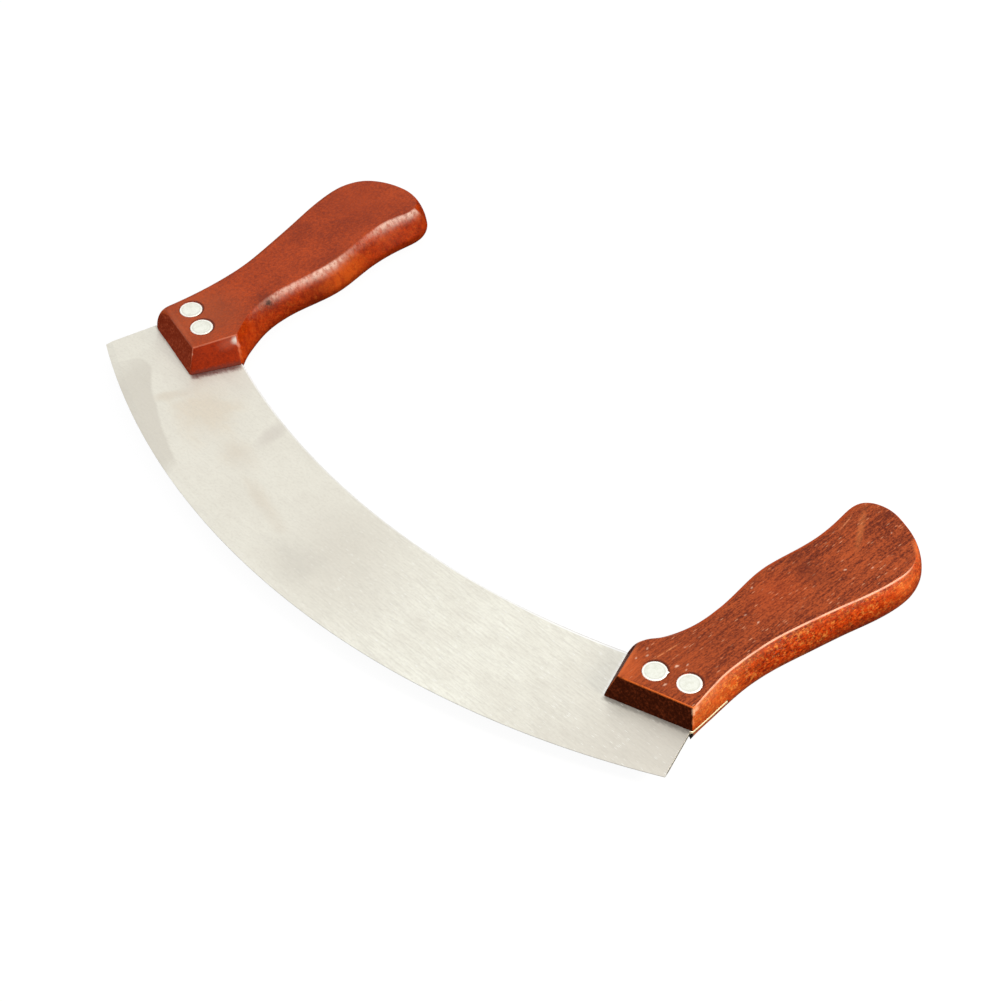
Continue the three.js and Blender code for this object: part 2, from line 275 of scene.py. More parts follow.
def grip_columns(shape):
    corner_a, corner_f, corner_c = shape["corners"]
    wide_pts, flat_pts = list(GRIP_WIDE), list(GRIP_FLAT)
    for i, p in shape["wide"].items():
        wide_pts[i] = p
    for i, p in shape["flat"].items():
        flat_pts[i] = p
    front_wide, front_flat = np.array(shape["front_wide"]), np.array(shape["front_flat"])
    head = (np.arange(14) / 14) ** 1.8
    tail = LAST - ((18 - np.arange(1, 19)) / 18) ** 1.8
    ts = np.concatenate([head, np.linspace(1, 28, 27 * 7 + 1), tail[1:]])
    wide, flat = spline(wide_pts)(ts), spline(flat_pts)(ts)
    run = flat - wide
    run /= np.linalg.norm(run, axis=1)[:, None]
    under = wide + run * ramp(UNDER_INSET, ts)[:, None]
    inset = np.linalg.norm(flat - wide, axis=1)
    below = ramp(ROUND_BELOW, ts)
    # control point of the side curve: where its tangents at the widest line and at the crease meet
    mean = np.arctan2(inset, GRIP_ABOVE)
    lean = np.maximum(np.radians(ramp(LEAN, ts)), mean + 0.04)
    foot = ramp(EVEN, ts) * np.clip(2 * mean - lean, 0, 0.6)
    reach = (inset * np.cos(lean) - GRIP_ABOVE * np.sin(lean)) / (np.sin(foot) * np.cos(lean) - np.cos(foot) * np.sin(lean))
    above = np.column_stack([reach * np.sin(foot) / inset, reach * np.cos(foot) / GRIP_ABOVE])
    # front face from the outer corner A to the inner corner F, then the shoulder face to C
    g1 = 0.5 - 0.5 * np.cos(np.pi * np.arange(1, 45) / 44)
    g2 = 0.5 - 0.5 * np.cos(np.pi * np.arange(1, 36) / 36)

    def between(p, q, g):
        return p[None, :] + (q - p)[None, :] * g[:, None]

    wide = np.concatenate([wide, between(wide[-1], front_wide, g1), between(front_wide, wide[0], g2)])
    flat2 = np.concatenate([flat, between(flat[-1], front_flat, g1), between(front_flat, flat[0], g2)])
    under2 = np.concatenate([under, between(under[-1], FRONT_UNDER, g1), between(FRONT_UNDER, under[0], g2)])
    facets = np.ones(len(g1) + len(g2))
    above = np.concatenate([above, np.column_stack([0 * facets, facets * FACET_LEAN / GRIP_ABOVE])])
    below = np.concatenate([below, facets * FACET_ROUND])
    rub_and_highlight = np.concatenate([ramp(shape["rub_and_highlight"], ts), shape["front_rub_and_highlight"] + 0 * g1, shape["shoulder_rub_and_highlight"] + 0 * g2])
    crest_highlight = np.concatenate([ramp(shape["crest_highlight"], ts), 0 * g1, 0 * g2])
    chin = shape["chin"] * np.concatenate([ramp([(27.8, 0), (29, 1)], ts), 1 + 0 * g1, 1 - g2])
    crease = np.concatenate([ramp(CREASE, ts), facets * FACET_CREASE])
    power = np.concatenate([ramp(ROUND_ABOVE, ts), facets * 1.9])
    first, length = shape["facet_share"]
    share = np.concatenate([ramp(shape["share"], ts), first * np.clip(1 - g1 / length, 0, 1), 0 * g2])
    n = len(wide)
    ia, i_f, ic = len(ts) - 1, len(ts) - 1 + len(g1), 0
    # how far each column is from the three upright corners, along the widest ring
    seg = np.linalg.norm(np.roll(wide, -1, 0) - wide, axis=1)
    s = np.concatenate([[0], np.cumsum(seg)[:-1]])
    total = seg.sum()

    def gap(i):
        d = np.abs(s - s[i])
        return np.minimum(d, total - d)

    blur = np.full(n, 0.02)
    for i, size in ((ia, corner_a), (i_f, corner_f), (ic, corner_c)):
        blur = np.maximum(blur, size * np.exp(-((gap(i) / (3.2 * size)) ** 4)))
    corner = np.zeros(n)
    for i in (ia, i_f, ic):
        corner = np.maximum(corner, np.exp(-((gap(i) / 0.4) ** 2)))
    return wide, flat2, under2, above, below, blur, corner, crease, power, share, rub_and_highlight, crest_highlight, chin


def grip(name, word):
    shape = GRIPS[word]
    side = shape["side"]
    wide, flat, under, above, below, blur, corner, crease, power, share, rub_and_highlight, crest_highlight, chin = grip_columns(shape)
    n = len(wide)
    m = SMOOTH_STEPS
    ang = np.linspace(0, math.pi / 2, m + 1)
    ext = np.concatenate([np.linspace(0.06, 0.6, 10), np.linspace(0.7, 4.2, 24)])
    up_keep = [0, 6, 12, 18, 24, 30, 36, 42, 48, 54, 59, 64, 68, 72, 75, 78, 80, 82, 84, 85, 86, 87, 88, 89, 90]
    ext_keep = [1, 3, 5, 7, 9, 11, 14, 18]
    low_keep = [90, 88, 86, 83, 79, 74, 68, 61, 54, 46, 38, 30, 22, 14, 7]
    levels = len(ext_keep) * 2 + len(low_keep) + len(up_keep)
    rings = np.zeros((levels, n, 3))
    edge = np.zeros((levels, n))
    pale = np.zeros((levels, n))
    rim = np.zeros((levels, n))
    for i in range(n):
        cosv, sinv = np.maximum(np.cos(ang), 0.0), np.sin(ang)
        u = np.linspace(0, 1, m + 1)
        fu, zu = 2 * u * (1 - u) * above[i, 0] + u * u, 2 * u * (1 - u) * above[i, 1] + u * u
        fu = fu + share[i] * (1 - cosv ** (2 / power[i]) - fu)
        zu = zu + share[i] * (sinv ** (2 / power[i]) - zu)
        fl, zl = 1 - cosv ** (2 / below[i]), sinv ** (2 / below[i])
        top = wide[i] + (flat[i] - wide[i]) * fu[:, None]
        low = wide[i] + (under[i] - wide[i]) * fl[:, None]
        et = (flat[i] - wide[i]) / np.linalg.norm(flat[i] - wide[i])
        el = (under[i] - wide[i]) / np.linalg.norm(under[i] - wide[i])
        upper = np.column_stack([top, GRIP_ABOVE * zu])
        lower = np.column_stack([low, -GRIP_BELOW * zl])
        lower[:, 1] -= chin[i] * np.clip(-lower[:, 2] / 0.6, 0, 1)
        ext_top = np.column_stack([flat[i] + et * ext[:, None], np.full(len(ext), GRIP_ABOVE)])
        ext_low = np.column_stack([under[i] - (0, chin[i]) + el * ext[:, None], np.full(len(ext), -GRIP_BELOW)])
        line = np.concatenate([ext_low[::-1], lower[:0:-1], upper, ext_top])
        arc = np.concatenate([[0], np.cumsum(np.linalg.norm(np.diff(line, axis=0), axis=1))])
        ne = len(ext)
        mid, crest, foot = ne + m, ne + 2 * m, ne
        sig = np.interp(arc, [arc[foot] , arc[mid], arc[crest]], [0.6, 0.12, crease[i]])
        smooth = gauss_rows(arc, sig) @ line
        smooth[:3], smooth[-3:] = line[:3], line[-3:]
        ids = [ne - 1 - k for k in ext_keep[::-1]] + [ne + (m - k) for k in low_keep] + [mid + k for k in up_keep] + [crest + 1 + k for k in ext_keep]
        rings[:, i] = smooth[ids]
        # distance below the crease: a worn line on it, which also stands in for its highlight, and a painted highlight
        # band under it
        down = arc[crest] - arc[ids]
        edge[:, i] = np.exp(-(((down - 0.08) / np.where(down > 0.08, 0.58, 0.28)) ** 2)) * (1 - share[i]) * rub_and_highlight[i]
        pale[:, i] = np.clip((down + 0.3) / 0.8, 0, 1) * np.exp(-((np.maximum(down - 0.7, 0) / 2.0) ** 2)) * crest_highlight[i]
        rim[:, i] = share[i] * shape["far"]
    # round the upright corners in plan
    for k in range(levels):
        ring = rings[k]
        seg = np.linalg.norm(np.roll(ring, -1, 0) - ring, axis=1)
        arc = np.concatenate([[0], np.cumsum(seg)[:-1]])
        size = seg.sum()
        d = np.abs(arc[:, None] - arc[None, :])
        d = np.minimum(d, size - d)
        step = 0.5 * (seg + np.roll(seg, 1))
        w = np.exp(-0.5 * (d / blur[:, None]) ** 2) * step[None, :]
        w /= w.sum(1, keepdims=True)
        rings[k] = w @ ring
    verts = rings.reshape(-1, 3).copy()
    verts[:, 0] *= side
    # the upright corners carry the line too, on their upper part: a painted highlight
    tall = np.interp(verts[:, 2], [-1, 3, 7, 8.0, 8.15], [0, 0.45, 1, 1, 0])
    marks_edge = np.maximum(edge.reshape(-1), np.tile(corner, levels) * tall * 0.8)
    obj = new_object(name, verts, ring_faces(levels, n))
    # saw cut for the tang
    corner_pt = wide_at(np.array([TANG_TOP_T]))[0]
    end_pt = np.array([SPINE_END_X, float(spine_y(SPINE_END_X))])
    along = (corner_pt - end_pt) / np.linalg.norm(corner_pt - end_pt)
    back = np.array([-along[1], along[0]]) * KERF_SPARE
    near, far = end_pt - along * 25 + back, end_pt + along * 60 + back
    plan = [(near[0], 20.0), (far[0], 20.0), tuple(far), tuple(near)]
    box = [(side * x, y, z) for z in (-KERF / 2, KERF / 2) for x, y in plan]
    cutters = [new_object("kerf_" + word, box, ring_faces(2, 4))]
    for where in ("inner", "outer"):
        place = RIVETS[f"{word}_{where}"]
        lo, hi = -GRIP_BELOW, GRIP_ABOVE
        cutters.append(turned(f"seat_{word}_{where}", [
            (0, lo - 1), (SEAT_R + 0.06, lo - 1), (SEAT_R + 0.06, lo), (SEAT_R, lo + 0.1), (SEAT_R, lo + 1.9), (HOLE_R, lo + 1.9),
            (HOLE_R, hi - 1.9), (SEAT_R, hi - 1.9), (SEAT_R, hi - 0.1), (SEAT_R + 0.06, hi), (SEAT_R + 0.06, hi + 1), (0, hi + 1),
        ], place))
    cut(obj, cutters)
    shade(obj)
    # how near each point is to a worn edge, whose line is partly a painted highlight
    tree = kdtree.KDTree(len(verts))
    for i, v in enumerate(to_row(verts)):
        tree.insert(v, i)
    tree.balance()
    pale, rim = pale.reshape(-1), rim.reshape(-1)
    worn_and_lit = np.zeros((3, len(obj.data.vertices)), np.float32)
    for v in obj.data.vertices:
        _, i, d = tree.find(v.co)
        worn_and_lit[:, v.index] = np.array((marks_edge[i], pale[i], rim[i])) * max(0.0, 1 - d / 0.0015)
    for title, values in zip(("edge", "crest_highlight", "rim"), worn_and_lit):
        attr = obj.data.attributes.new(title, "FLOAT", "POINT")
        attr.data.foreach_set("value", values)
    return obj


# ------------------------------------------------------------------------ blade


def blade(name):
    points = []  # (sharp point, flat-face point, kind)
    steps = 320
    ends = []
    for tip, heel in ((LEFT_TIP, wide_at(np.array([29.0]))[0] * (-1, 1)), (TIP, HEEL)):
        run = heel - tip
        ends.append((tip, run / np.linalg.norm(run), np.linalg.norm(run)))
    for i in range(steps + 1):
        x = LEFT_TIP[0] + (TIP[0] - LEFT_TIP[0]) * i / steps
        if i in (0, steps):
            p = ends[i // steps][0]
            q = p + ends[i // steps][1] * BEVEL_WIDTH * 1.05
        else:
            p = np.array([x, float(edge_y(x))])
            f = BEVEL_WIDTH / EDGE_RADIUS
            q = np.array([x * (1 - f), p[1] + (EDGE_RADIUS - p[1]) * f])
            # keep the flat clear of the end edges near the tips
            tip, run, _ = ends[0 if x < 0 else 1]
            lim = tip[0] + run[0] * (q[1] - tip[1]) / run[1]
            q[0] = max(lim + 0.02, q[0]) if x < 0 else min(lim - 0.02, q[0])
        points.append((p, q, "edge"))
    tips = [[tip + run * d for d in np.linspace(BEVEL_WIDTH * 1.05, size - 0.3, 12)] for tip, run, size in ends]
    right = list(tips[1])
    tang_from = len(right)
    right += [p for p in wide_at(np.linspace(29, TANG_TOP_T, 30))]
    tang_to = len(right)
    right += [np.array(p) for p in zip(
        np.linspace(right[-1][0], SPINE_END_X, 12)[1:-1],
        np.linspace(right[-1][1], float(spine_y(SPINE_END_X)), 12)[1:-1],
    )]
    spine = [np.array([x, float(spine_y(x))]) for x in np.linspace(SPINE_END_X, -SPINE_END_X, 261)]
    left = [p * (-1, 1) for p in right[:tang_from - 1:-1]] + tips[0][::-1]
    rim = right + spine + left
    whole = [p for p, _, _ in points] + rim
    n0 = len(points)
    for i, p in enumerate(rim):
        a = whole[(n0 + i - 1) % len(whole)]
        b = whole[(n0 + i + 1) % len(whole)]
        d = (b - a) / np.linalg.norm(b - a)
        inward = np.array([-d[1], d[0]])
        at_tang = tang_from <= i < tang_to or tang_from <= len(rim) - 1 - i < tang_to
        at_end = i < tang_from or len(rim) - 1 - i < tang_from
        points.append((p, p + inward * (0.5 if at_tang else 0.05 if at_end else 0.16), "tang" if at_tang else "end" if at_end else "rim"))
    h = BLADE_HALF
    # share of the way from the flat to the sharp line, and height, top side
    drop = h - EDGE_LAND / 2
    steps = {
        "rim": [(1.0, h), (0.55, h - 0.015), (0.2, h - 0.06), (0.04, h - 0.11), (0.0, h - 0.17)],
        "tang": [(1.0, h), (0.62, h - 0.04), (0.29, h - 0.15), (0.08, h - 0.31), (0.0, h - 0.5)],
        "end": [(1.0, h), (0.55, h - 0.006), (0.2, h - 0.02), (0.04, h - 0.04), (0.0, h - 0.06)],
        "edge": [(1.0, h), (0.75, h - 0.25 * drop), (0.5, h - 0.5 * drop), (0.25, h - 0.75 * drop), (0.0, EDGE_LAND / 2)],
    }
    rings = []
    for sign, order in ((-1, range(5)), (1, range(4, -1, -1))):
        for k in order:
            rings.append([(*(p + (q - p) * steps[kind][k][0]), sign * steps[kind][k][1]) for p, q, kind in points])
    n = len(points)
    obj = new_object(name, np.array(rings).reshape(-1, 3), ring_faces(len(rings), n))
    holes = [turned(f"hole_{w}", [(0, -2), (HOLE_R, -2), (HOLE_R, 2), (0, 2)], p, 64) for w, p in RIVETS.items()]
    cut(obj, holes)
    bm = bmesh.new()
    bm.from_mesh(obj.data)
    for f in bm.faces:
        f.smooth = abs(f.normal.z) < 0.9995
    for e in bm.edges:
        e.smooth = len(e.link_faces) == 2 and all(f.smooth for f in e.link_faces) and e.calc_face_angle(0.0) < math.radians(35)
    # the ends of the tangs, ground flush with the grips
    for f in bm.faces:
        c = f.calc_center_median() * 1000
        ground = abs(c.x) > 128.0 and abs(f.normal.x) > 0.4 and c.y + 79.844 > 52.2
        ground = ground or (c.x > 129.85 and f.normal.y < -0.3 and c.y + 79.844 > 51.3)
        f.material_index = 1 if f.smooth and ground else 0
    bm.to_mesh(obj.data)
    bm.free()
    return obj


# ----------------------------------------------------------------------- rivets


def burr(r, z, a):
    """A small flake of metal squeezed out on one side of the head."""
    if r < 3.6 or z < 7.5:
        return r, z
    d = (a - math.radians(38) + math.pi) % (2 * math.pi) - math.pi
    k = math.exp(-((d / 0.085) ** 2))
    return r + 0.55 * k, z + 0.12 * k


def rivet_pin(where):
    top = GRIP_ABOVE
    return turned(f"rivet_pin_{where}_turned", [
        (0, -3.0), (PIN_R - 0.3, -3.0), (PIN_R - 0.08, -2.85), (PIN_R, -2.5), (PIN_R, top - 1.85), (PIN_R + 0.1, top - 1.8),
        (HEAD_R - 0.1, top - 1.8), (HEAD_R, top - 1.7), (HEAD_R, top - 0.2), (HEAD_R - 0.03, top - 0.1), (HEAD_R - 0.1, top - 0.02),
        (HEAD_R - 0.22, top + 0.04), (HEAD_R - 0.38, top + 0.06), (HEAD_R - 0.55, top + 0.045), (HEAD_R - 0.72, top + 0.02),
        (HEAD_R - 0.95, top + 0.015), (2.0, top + 0.05), (1.0, top + 0.07), (0, top + 0.075),
    ], RIVETS[where], 96, burr if where == "right_inner" else None)


def rivet_sleeve(where):
    low = -GRIP_BELOW + 0.1
    return turned(f"rivet_sleeve_{where}_turned", [
        (0, low), (HEAD_R - 0.55, low), (HEAD_R - 0.3, low + 0.02), (HEAD_R - 0.12, low + 0.08), (HEAD_R - 0.03, low + 0.18), (HEAD_R, low + 0.3),
        (HEAD_R, low + 1.62), (HEAD_R - 0.08, low + 1.7), (SLEEVE_R + 0.1, low + 1.7), (SLEEVE_R, low + 1.8), (SLEEVE_R, 5.8), (SLEEVE_R - 0.12, 5.9),
        (BORE_R + 0.12, 5.9), (BORE_R, 5.8), (BORE_R, -3.5), (0, -3.6),
    ], RIVETS[where], 96)


# -------------------------------------------------------------------- materials


class Nodes:
    """A little help for wiring shader nodes."""

    def __init__(self, name):
        self.mat = bpy.data.materials.new(name)
        self.mat.use_nodes = True
        self.tree = self.mat.node_tree
        self.tree.nodes.clear()
        self.out = self.tree.nodes.new("ShaderNodeOutputMaterial")

    def node(self, kind, inputs=None, **props):
        n = self.tree.nodes.new(kind)
        for k, v in props.items():
            setattr(n, k, v)
        for k, v in (inputs or {}).items():
            self.put(n.inputs[k], v)
        return n

    def put(self, socket, value):
        if isinstance(value, bpy.types.NodeSocket):
            self.tree.links.new(value, socket)
        else:
            socket.default_value = value

    def math(self, op, a, b=None, c=None, clamp=False):
        n = self.node("ShaderNodeMath", operation=op, use_clamp=clamp)
        for i, v in enumerate((a, b, c)):
            if v is not None:
                self.put(n.inputs[i], v)
        return n.outputs[0]

    def step(self, value, low, high, to_low=0.0, to_high=1.0):
        n = self.node("ShaderNodeMapRange", interpolation_type="SMOOTHSTEP")
        n.clamp = True
        for key, v in (("Value", value), ("From Min", low), ("From Max", high), ("To Min", to_low), ("To Max", to_high)):
            self.put(n.inputs[key], v)
        return n.outputs["Result"]

    def step_line(self, value, low, high):
        n = self.node("ShaderNodeMapRange", {"Value": value, "From Min": low, "From Max": high})
        return n.outputs["Result"]

    def mix(self, fac, a, b, blend="MIX"):
        n = self.node("ShaderNodeMix", data_type="RGBA", blend_type=blend)
        self.put(n.inputs[0], fac)
        self.put(n.inputs[6], a)
        self.put(n.inputs[7], b)
        return n.outputs[2]

    def noise(self, vector, detail=2.0, rough=0.5, scale=1.0, distort=0.0):
        n = self.node("ShaderNodeTexNoise", {"Vector": vector, "Scale": scale, "Detail": detail, "Roughness": rough, "Distortion": distort})
        return n.outputs["Fac"]

    def stretch(self, vector, scale, move=(0, 0, 0), turn=(0, 0, 0)):
        n = self.node("ShaderNodeMapping", {"Vector": vector, "Location": move, "Rotation": turn, "Scale": scale})
        return n.outputs[0]


def rgb(r, g, b):
    """Linear colour from 8-bit display values."""
    f = lambda v: v / 255 / 12.92 if v / 255 <= 0.04045 else ((v / 255 + 0.055) / 1.055) ** 2.4
    return (f(r), f(g), f(b), 1.0)


def blob(k, at, centre, size, soft=0.35, turn=0.0, rough=None, ragged=0.0):
    """1 inside a soft-edged ellipsoid, 0 outside; rough is a noise that frays its border."""
    move = k.node("ShaderNodeVectorMath", {0: at, 1: tuple(-c for c in centre)}, operation="ADD").outputs[0]
    if turn:
        move = k.node("ShaderNodeVectorRotate", {"Vector": move, "Angle": turn}, rotation_type="Z_AXIS").outputs[0]
    move = k.node("ShaderNodeVectorMath", {0: move, 1: tuple(1.0 / v for v in size)}, operation="MULTIPLY").outputs[0]
    reach = k.node("ShaderNodeVectorMath", {0: move}, operation="LENGTH").outputs["Value"]
    if rough is not None:
        reach = k.math("MULTIPLY_ADD", k.math("SUBTRACT", rough, 0.5), ragged, reach)
    return k.step(reach, 1.0 + soft, 1.0 - soft)


def wood(name, part, look):
    """Stained hardwood, grain along y. part is face, flank, end or shoulder: polish and stain differ between them, and
    so does the painted light and shade some parts carry.
    """
    k = Nodes(name)
    grain = look["grain"]
    obj = k.node("ShaderNodeTexCoord").outputs["Object"]
    mm = k.stretch(obj, (1000, 1000, 1000))
    plan = k.node("ShaderNodeVectorMath", {0: mm, 1: (0.0, 79.844, -6.0)}, operation="ADD").outputs[0]
    # slow wander, so that the lines aren't ruler straight
    g = k.stretch(mm, (1, 1, 1), look["seed"], look["turn"])
    sway = k.node("ShaderNodeTexNoise", {"Vector": k.stretch(g, (0.05, 0.014, 0.05)), "Scale": 1.0, "Detail": 2.0})
    off = k.node("ShaderNodeVectorMath", {0: sway.outputs["Color"], 1: (0.5, 0.5, 0.5)}, operation="SUBTRACT")
    off = k.node("ShaderNodeVectorMath", {0: off.outputs[0], 1: (4.0, 0.0, 4.0)}, operation="MULTIPLY")
    p = k.node("ShaderNodeVectorMath", {0: g, 1: off.outputs[0]}, operation="ADD").outputs[0]
    broad = k.noise(k.stretch(p, (0.09, 0.035, 0.09)), 3.0, 0.55)
    band = k.noise(k.stretch(p, (0.42, 0.03, 0.42)), 3.0, 0.6)
    fine = k.noise(k.stretch(p, (1.6, 0.11, 1.6)), 3.0, 0.65)
    hair = k.noise(k.stretch(p, (2.6, 1.0, 2.6), (5, 2, 9)), 3.0, 0.7)
    comb = k.noise(k.stretch(mm, (0.22, 1.5, 0.22), look["seed"]), 4.0, 0.7)
    mottle = k.noise(k.stretch(mm, (0.9, 0.9, 0.9), look["seed"]), 4.0, 0.75)
    tone = k.math("MULTIPLY_ADD", k.math("SUBTRACT", broad, 0.5), look["broad"], 0.5)
    tone = k.math("MULTIPLY_ADD", k.math("SUBTRACT", band, 0.5), 0.70 * grain, tone)
    tone = k.math("MULTIPLY_ADD", k.math("SUBTRACT", fine, 0.5), 2.6 * grain, tone)
    tone = k.math("MULTIPLY_ADD", k.math("SUBTRACT", mottle, 0.5), look["mottle"], tone)
    tone = k.math("MULTIPLY_ADD", k.math("SUBTRACT", hair, 0.5), 3.2 * grain, tone, clamp=True)
    if part == "flank":
        tone = k.math("MULTIPLY_ADD", k.math("SUBTRACT", comb, 0.5), look["comb"], tone, clamp=True)
    col = k.mix(tone, look["dark"], look["light"])
    # dark pores: short streaks along the grain
    cell = k.node("ShaderNodeTexVoronoi", {"Vector": k.stretch(p, (1.7, 0.34, 1.7)), "Scale": 1.0}, feature="F1")
    pore = k.math("MULTIPLY", k.step(cell.outputs["Distance"], 0.36, 0.10), k.step(k.noise(k.stretch(p, (0.2, 0.06, 0.2), (7, 3, 1)), 2.0), 0.40, 0.60))
    col = k.mix(k.math("MULTIPLY", pore, look["pore"]), col, look["deep"])
    # pale flecks: short bright fibres
    spot = k.node("ShaderNodeTexVoronoi", {"Vector": k.stretch(p, (1.5, 0.30, 1.5), (3, 9, 4)), "Scale": 1.0}, feature="F1")
    rare = k.node("ShaderNodeSeparateColor", {0: spot.outputs["Color"]})
    pale = k.math("MULTIPLY", k.step(spot.outputs["Distance"], 0.34, 0.08), k.step(rare.outputs[0], 0.66, 0.95))
    col = k.mix(k.math("MULTIPLY", pale, look["flecks"]), col, look["fleck"])
    for mark in look["marks"]:
        where, size, turn, soft, tint, amount = mark[:6]
        if len(mark) > 6 and part not in mark[6]:
            continue
        here = blob(k, plan, where, size, soft, turn, mottle, 1.2)
        if min(size) < 0.5:
            # a scratch: broken up along its length
            here = k.math("MULTIPLY", here, k.step(mottle, 0.36, 0.54))
        col = k.mix(k.math("MULTIPLY", here, amount), col, tint)
    if part == "face":
        # painted glints: small whitish specks where shiny fibres catch the light
        for x, y, size, amount in look["glint_specks"]:
            turn = (x * 7.3 + y * 3.1) % 1.0 - 0.5
            here = blob(k, plan, (x, y, 8.2), (size * 0.7, size * 1.4, 2.0), 0.7, turn, hair, 2.6)
            col = k.mix(k.math("MULTIPLY", here, amount), col, (0.74, 0.46, 0.34, 1))
        # shadow and dirt in the rivet seats, on the side away from the blade
        for where in look["seats"]:
            here = blob(k, plan, (RIVETS[where][0], RIVETS[where][1] + 0.34, 8.2), (4.42, 4.42, 3.0), 0.06)
            col = k.mix(k.math("MULTIPLY", here, 0.8), col, (0.07, 0.010, 0.004, 1))
    edge = k.node("ShaderNodeAttribute", attribute_name="edge").outputs["Fac"]
    nrm = k.node("ShaderNodeSeparateXYZ", {0: k.node("ShaderNodeNewGeometry").outputs["Normal"]})
    pos = k.node("ShaderNodeSeparateXYZ", {0: plan})
    if part in ("face", "flank"):
        # the sides are cut across the figure and read warmer than the face; the factor is also partly painted light,
        # making the sides brighter where the lamp falls on them
        flank = k.step(nrm.outputs[2], 0.95, 0.74)
        col = k.mix(flank, col, k.mix(1.0, col, look["side"], "MULTIPLY"))
    if part == "flank":
        # dark grit, clustered golden fibres, and painted shade towards the lower edge
        size = look["grit"][1]
        grit = k.noise(k.stretch(mm, (size, size, size), (4, 8, 1)), 4.0, 0.7)
        col = k.mix(k.math("MULTIPLY", k.step(grit, 0.56, 0.38), look["grit"][0]), col, k.mix(1.0, col, (0.66, 0.46, 0.40, 1), "MULTIPLY"))
        fibre = k.noise(k.stretch(mm, (0.62, 0.62, 0.62), (2, 4, 6)), 5.0, 0.8)
        cluster = k.step(k.noise(k.stretch(mm, (0.10, 0.10, 0.10), look["seed"]), 2.0), 0.38, 0.58, 0.6, 1.0)
        glow = k.math("MULTIPLY", k.step(fibre, 0.49, 0.69), cluster)
        col = k.mix(k.math("MULTIPLY", glow, look["golden"]), col, look["gold"])
        # painted shade: the side darkens towards its lower edge, where it turns under away from the light
        low = k.math("MULTIPLY_ADD", k.math("SUBTRACT", fine, 0.5), 3.0, pos.outputs[2])
        low = k.math("MULTIPLY", k.step(low, look["low"][1], look["low"][0]), k.step(broad, 0.30, 0.62, 0.45, 1.0))
        low = k.math("MULTIPLY", low, k.step(pos.outputs[1], look["low"][3] - 4.0, look["low"][3] + 4.0))
        col = k.mix(k.math("MULTIPLY", low, look["low"][2]), col, k.mix(1.0, col, look["turned_under_shade"], "MULTIPLY"))
    if part == "shoulder":
        col = k.mix(1.0, col, look["cheek"], "MULTIPLY")
        # painted shade: the shoulder darkens low down, where it meets the blade
        foot = k.math("MULTIPLY_ADD", k.math("SUBTRACT", mottle, 0.5), 2.0, pos.outputs[2])
        col = k.mix(k.math("MULTIPLY", k.step(foot, look["foot"][1], look["foot"][0]), look["foot"][2]), col, (0.15, 0.034, 0.024, 1))
    if part == "end":
        dots = k.noise(k.stretch(mm, (1.3, 1.3, 1.3)), 3.0, 0.7)
        dots = k.math("MULTIPLY_ADD", k.math("SUBTRACT", comb, 0.5), 0.5, dots)
        col = k.mix(k.step(dots, 0.42, 0.80), look["end"], look["end_light"])
        # hardly any light gets to the end below the blade
        col = k.mix(k.step(pos.outputs[2], 0.4, -0.4), col, (0.004, 0.001, 0.001, 1))
    # worn, thinner stain on the arrises, made pale enough to stand for their highlight too: partly painted highlight
    worn_and_lit = k.math("MULTIPLY", k.step(edge, 0.25, 0.85), k.step(k.noise(k.stretch(mm, (0.35, 0.12, 0.35)), 3.0), 0.30, 0.52, 0.35, 1.0))
    tint = look["worn_and_lit"]
    if look["front"]:
        # along the front arris the line is orange: partly thinned stain, partly a painted highlight
        across, level, front_tint = look["front"]
        ahead = k.node("ShaderNodeVectorMath", {0: plan, 1: across}, operation="DOT_PRODUCT").outputs["Value"]
        tint = k.mix(k.step(ahead, level + 1.4, level + 0.5), tint, front_tint)
    if part in ("face", "flank"):
        # painted highlight: a pale band just under the top crease, where the polished side catches the lamp
        crest_highlight = k.node("ShaderNodeAttribute", attribute_name="crest_highlight").outputs["Fac"]
        patchy = k.noise(k.stretch(mm, (0.55, 0.75, 0.55), (6, 1, 8)), 4.0, 0.65)
        crest_highlight = k.math("MULTIPLY", k.math("MULTIPLY", crest_highlight, k.step(comb, 0.30, 0.62, 0.92, 1.06)), k.step(patchy, 0.36, 0.60, 0.45, 1.2))
        col = k.mix(crest_highlight, col, look["crest_highlight"])
        # the softly rounded far edges have worn to a warmer colour too
        rim = k.node("ShaderNodeAttribute", attribute_name="rim").outputs["Fac"]
        col = k.mix(k.math("MULTIPLY", rim, k.step(nrm.outputs[2], 0.998, 0.80)), col, look["rim"])
    col = k.mix(k.math("MULTIPLY", worn_and_lit, look["wear_and_highlight"]), col, tint)
    # last marks, laid over everything else; several are painted highlights and painted shade
    for where, size, turn, soft, tint, amount in look["late"]:
        col = k.mix(k.math("MULTIPLY", blob(k, plan, where, size, soft, turn, mottle, 1.2), amount), col, tint)
    gloss = {"face": look["gloss"] + 0.10, "flank": look["gloss"], "shoulder": 0.45, "end": 0.62}[part]
    shine = {"face": 0.13, "flank": look["shine"], "shoulder": 0.08, "end": 0.04}[part]
    rough = k.math("MULTIPLY_ADD", fine, 0.20, gloss)
    rough = k.math("MULTIPLY_ADD", k.math("SUBTRACT", comb if part == "flank" else mottle, 0.5), 0.35, rough)
    if part == "flank" and look["band"]:
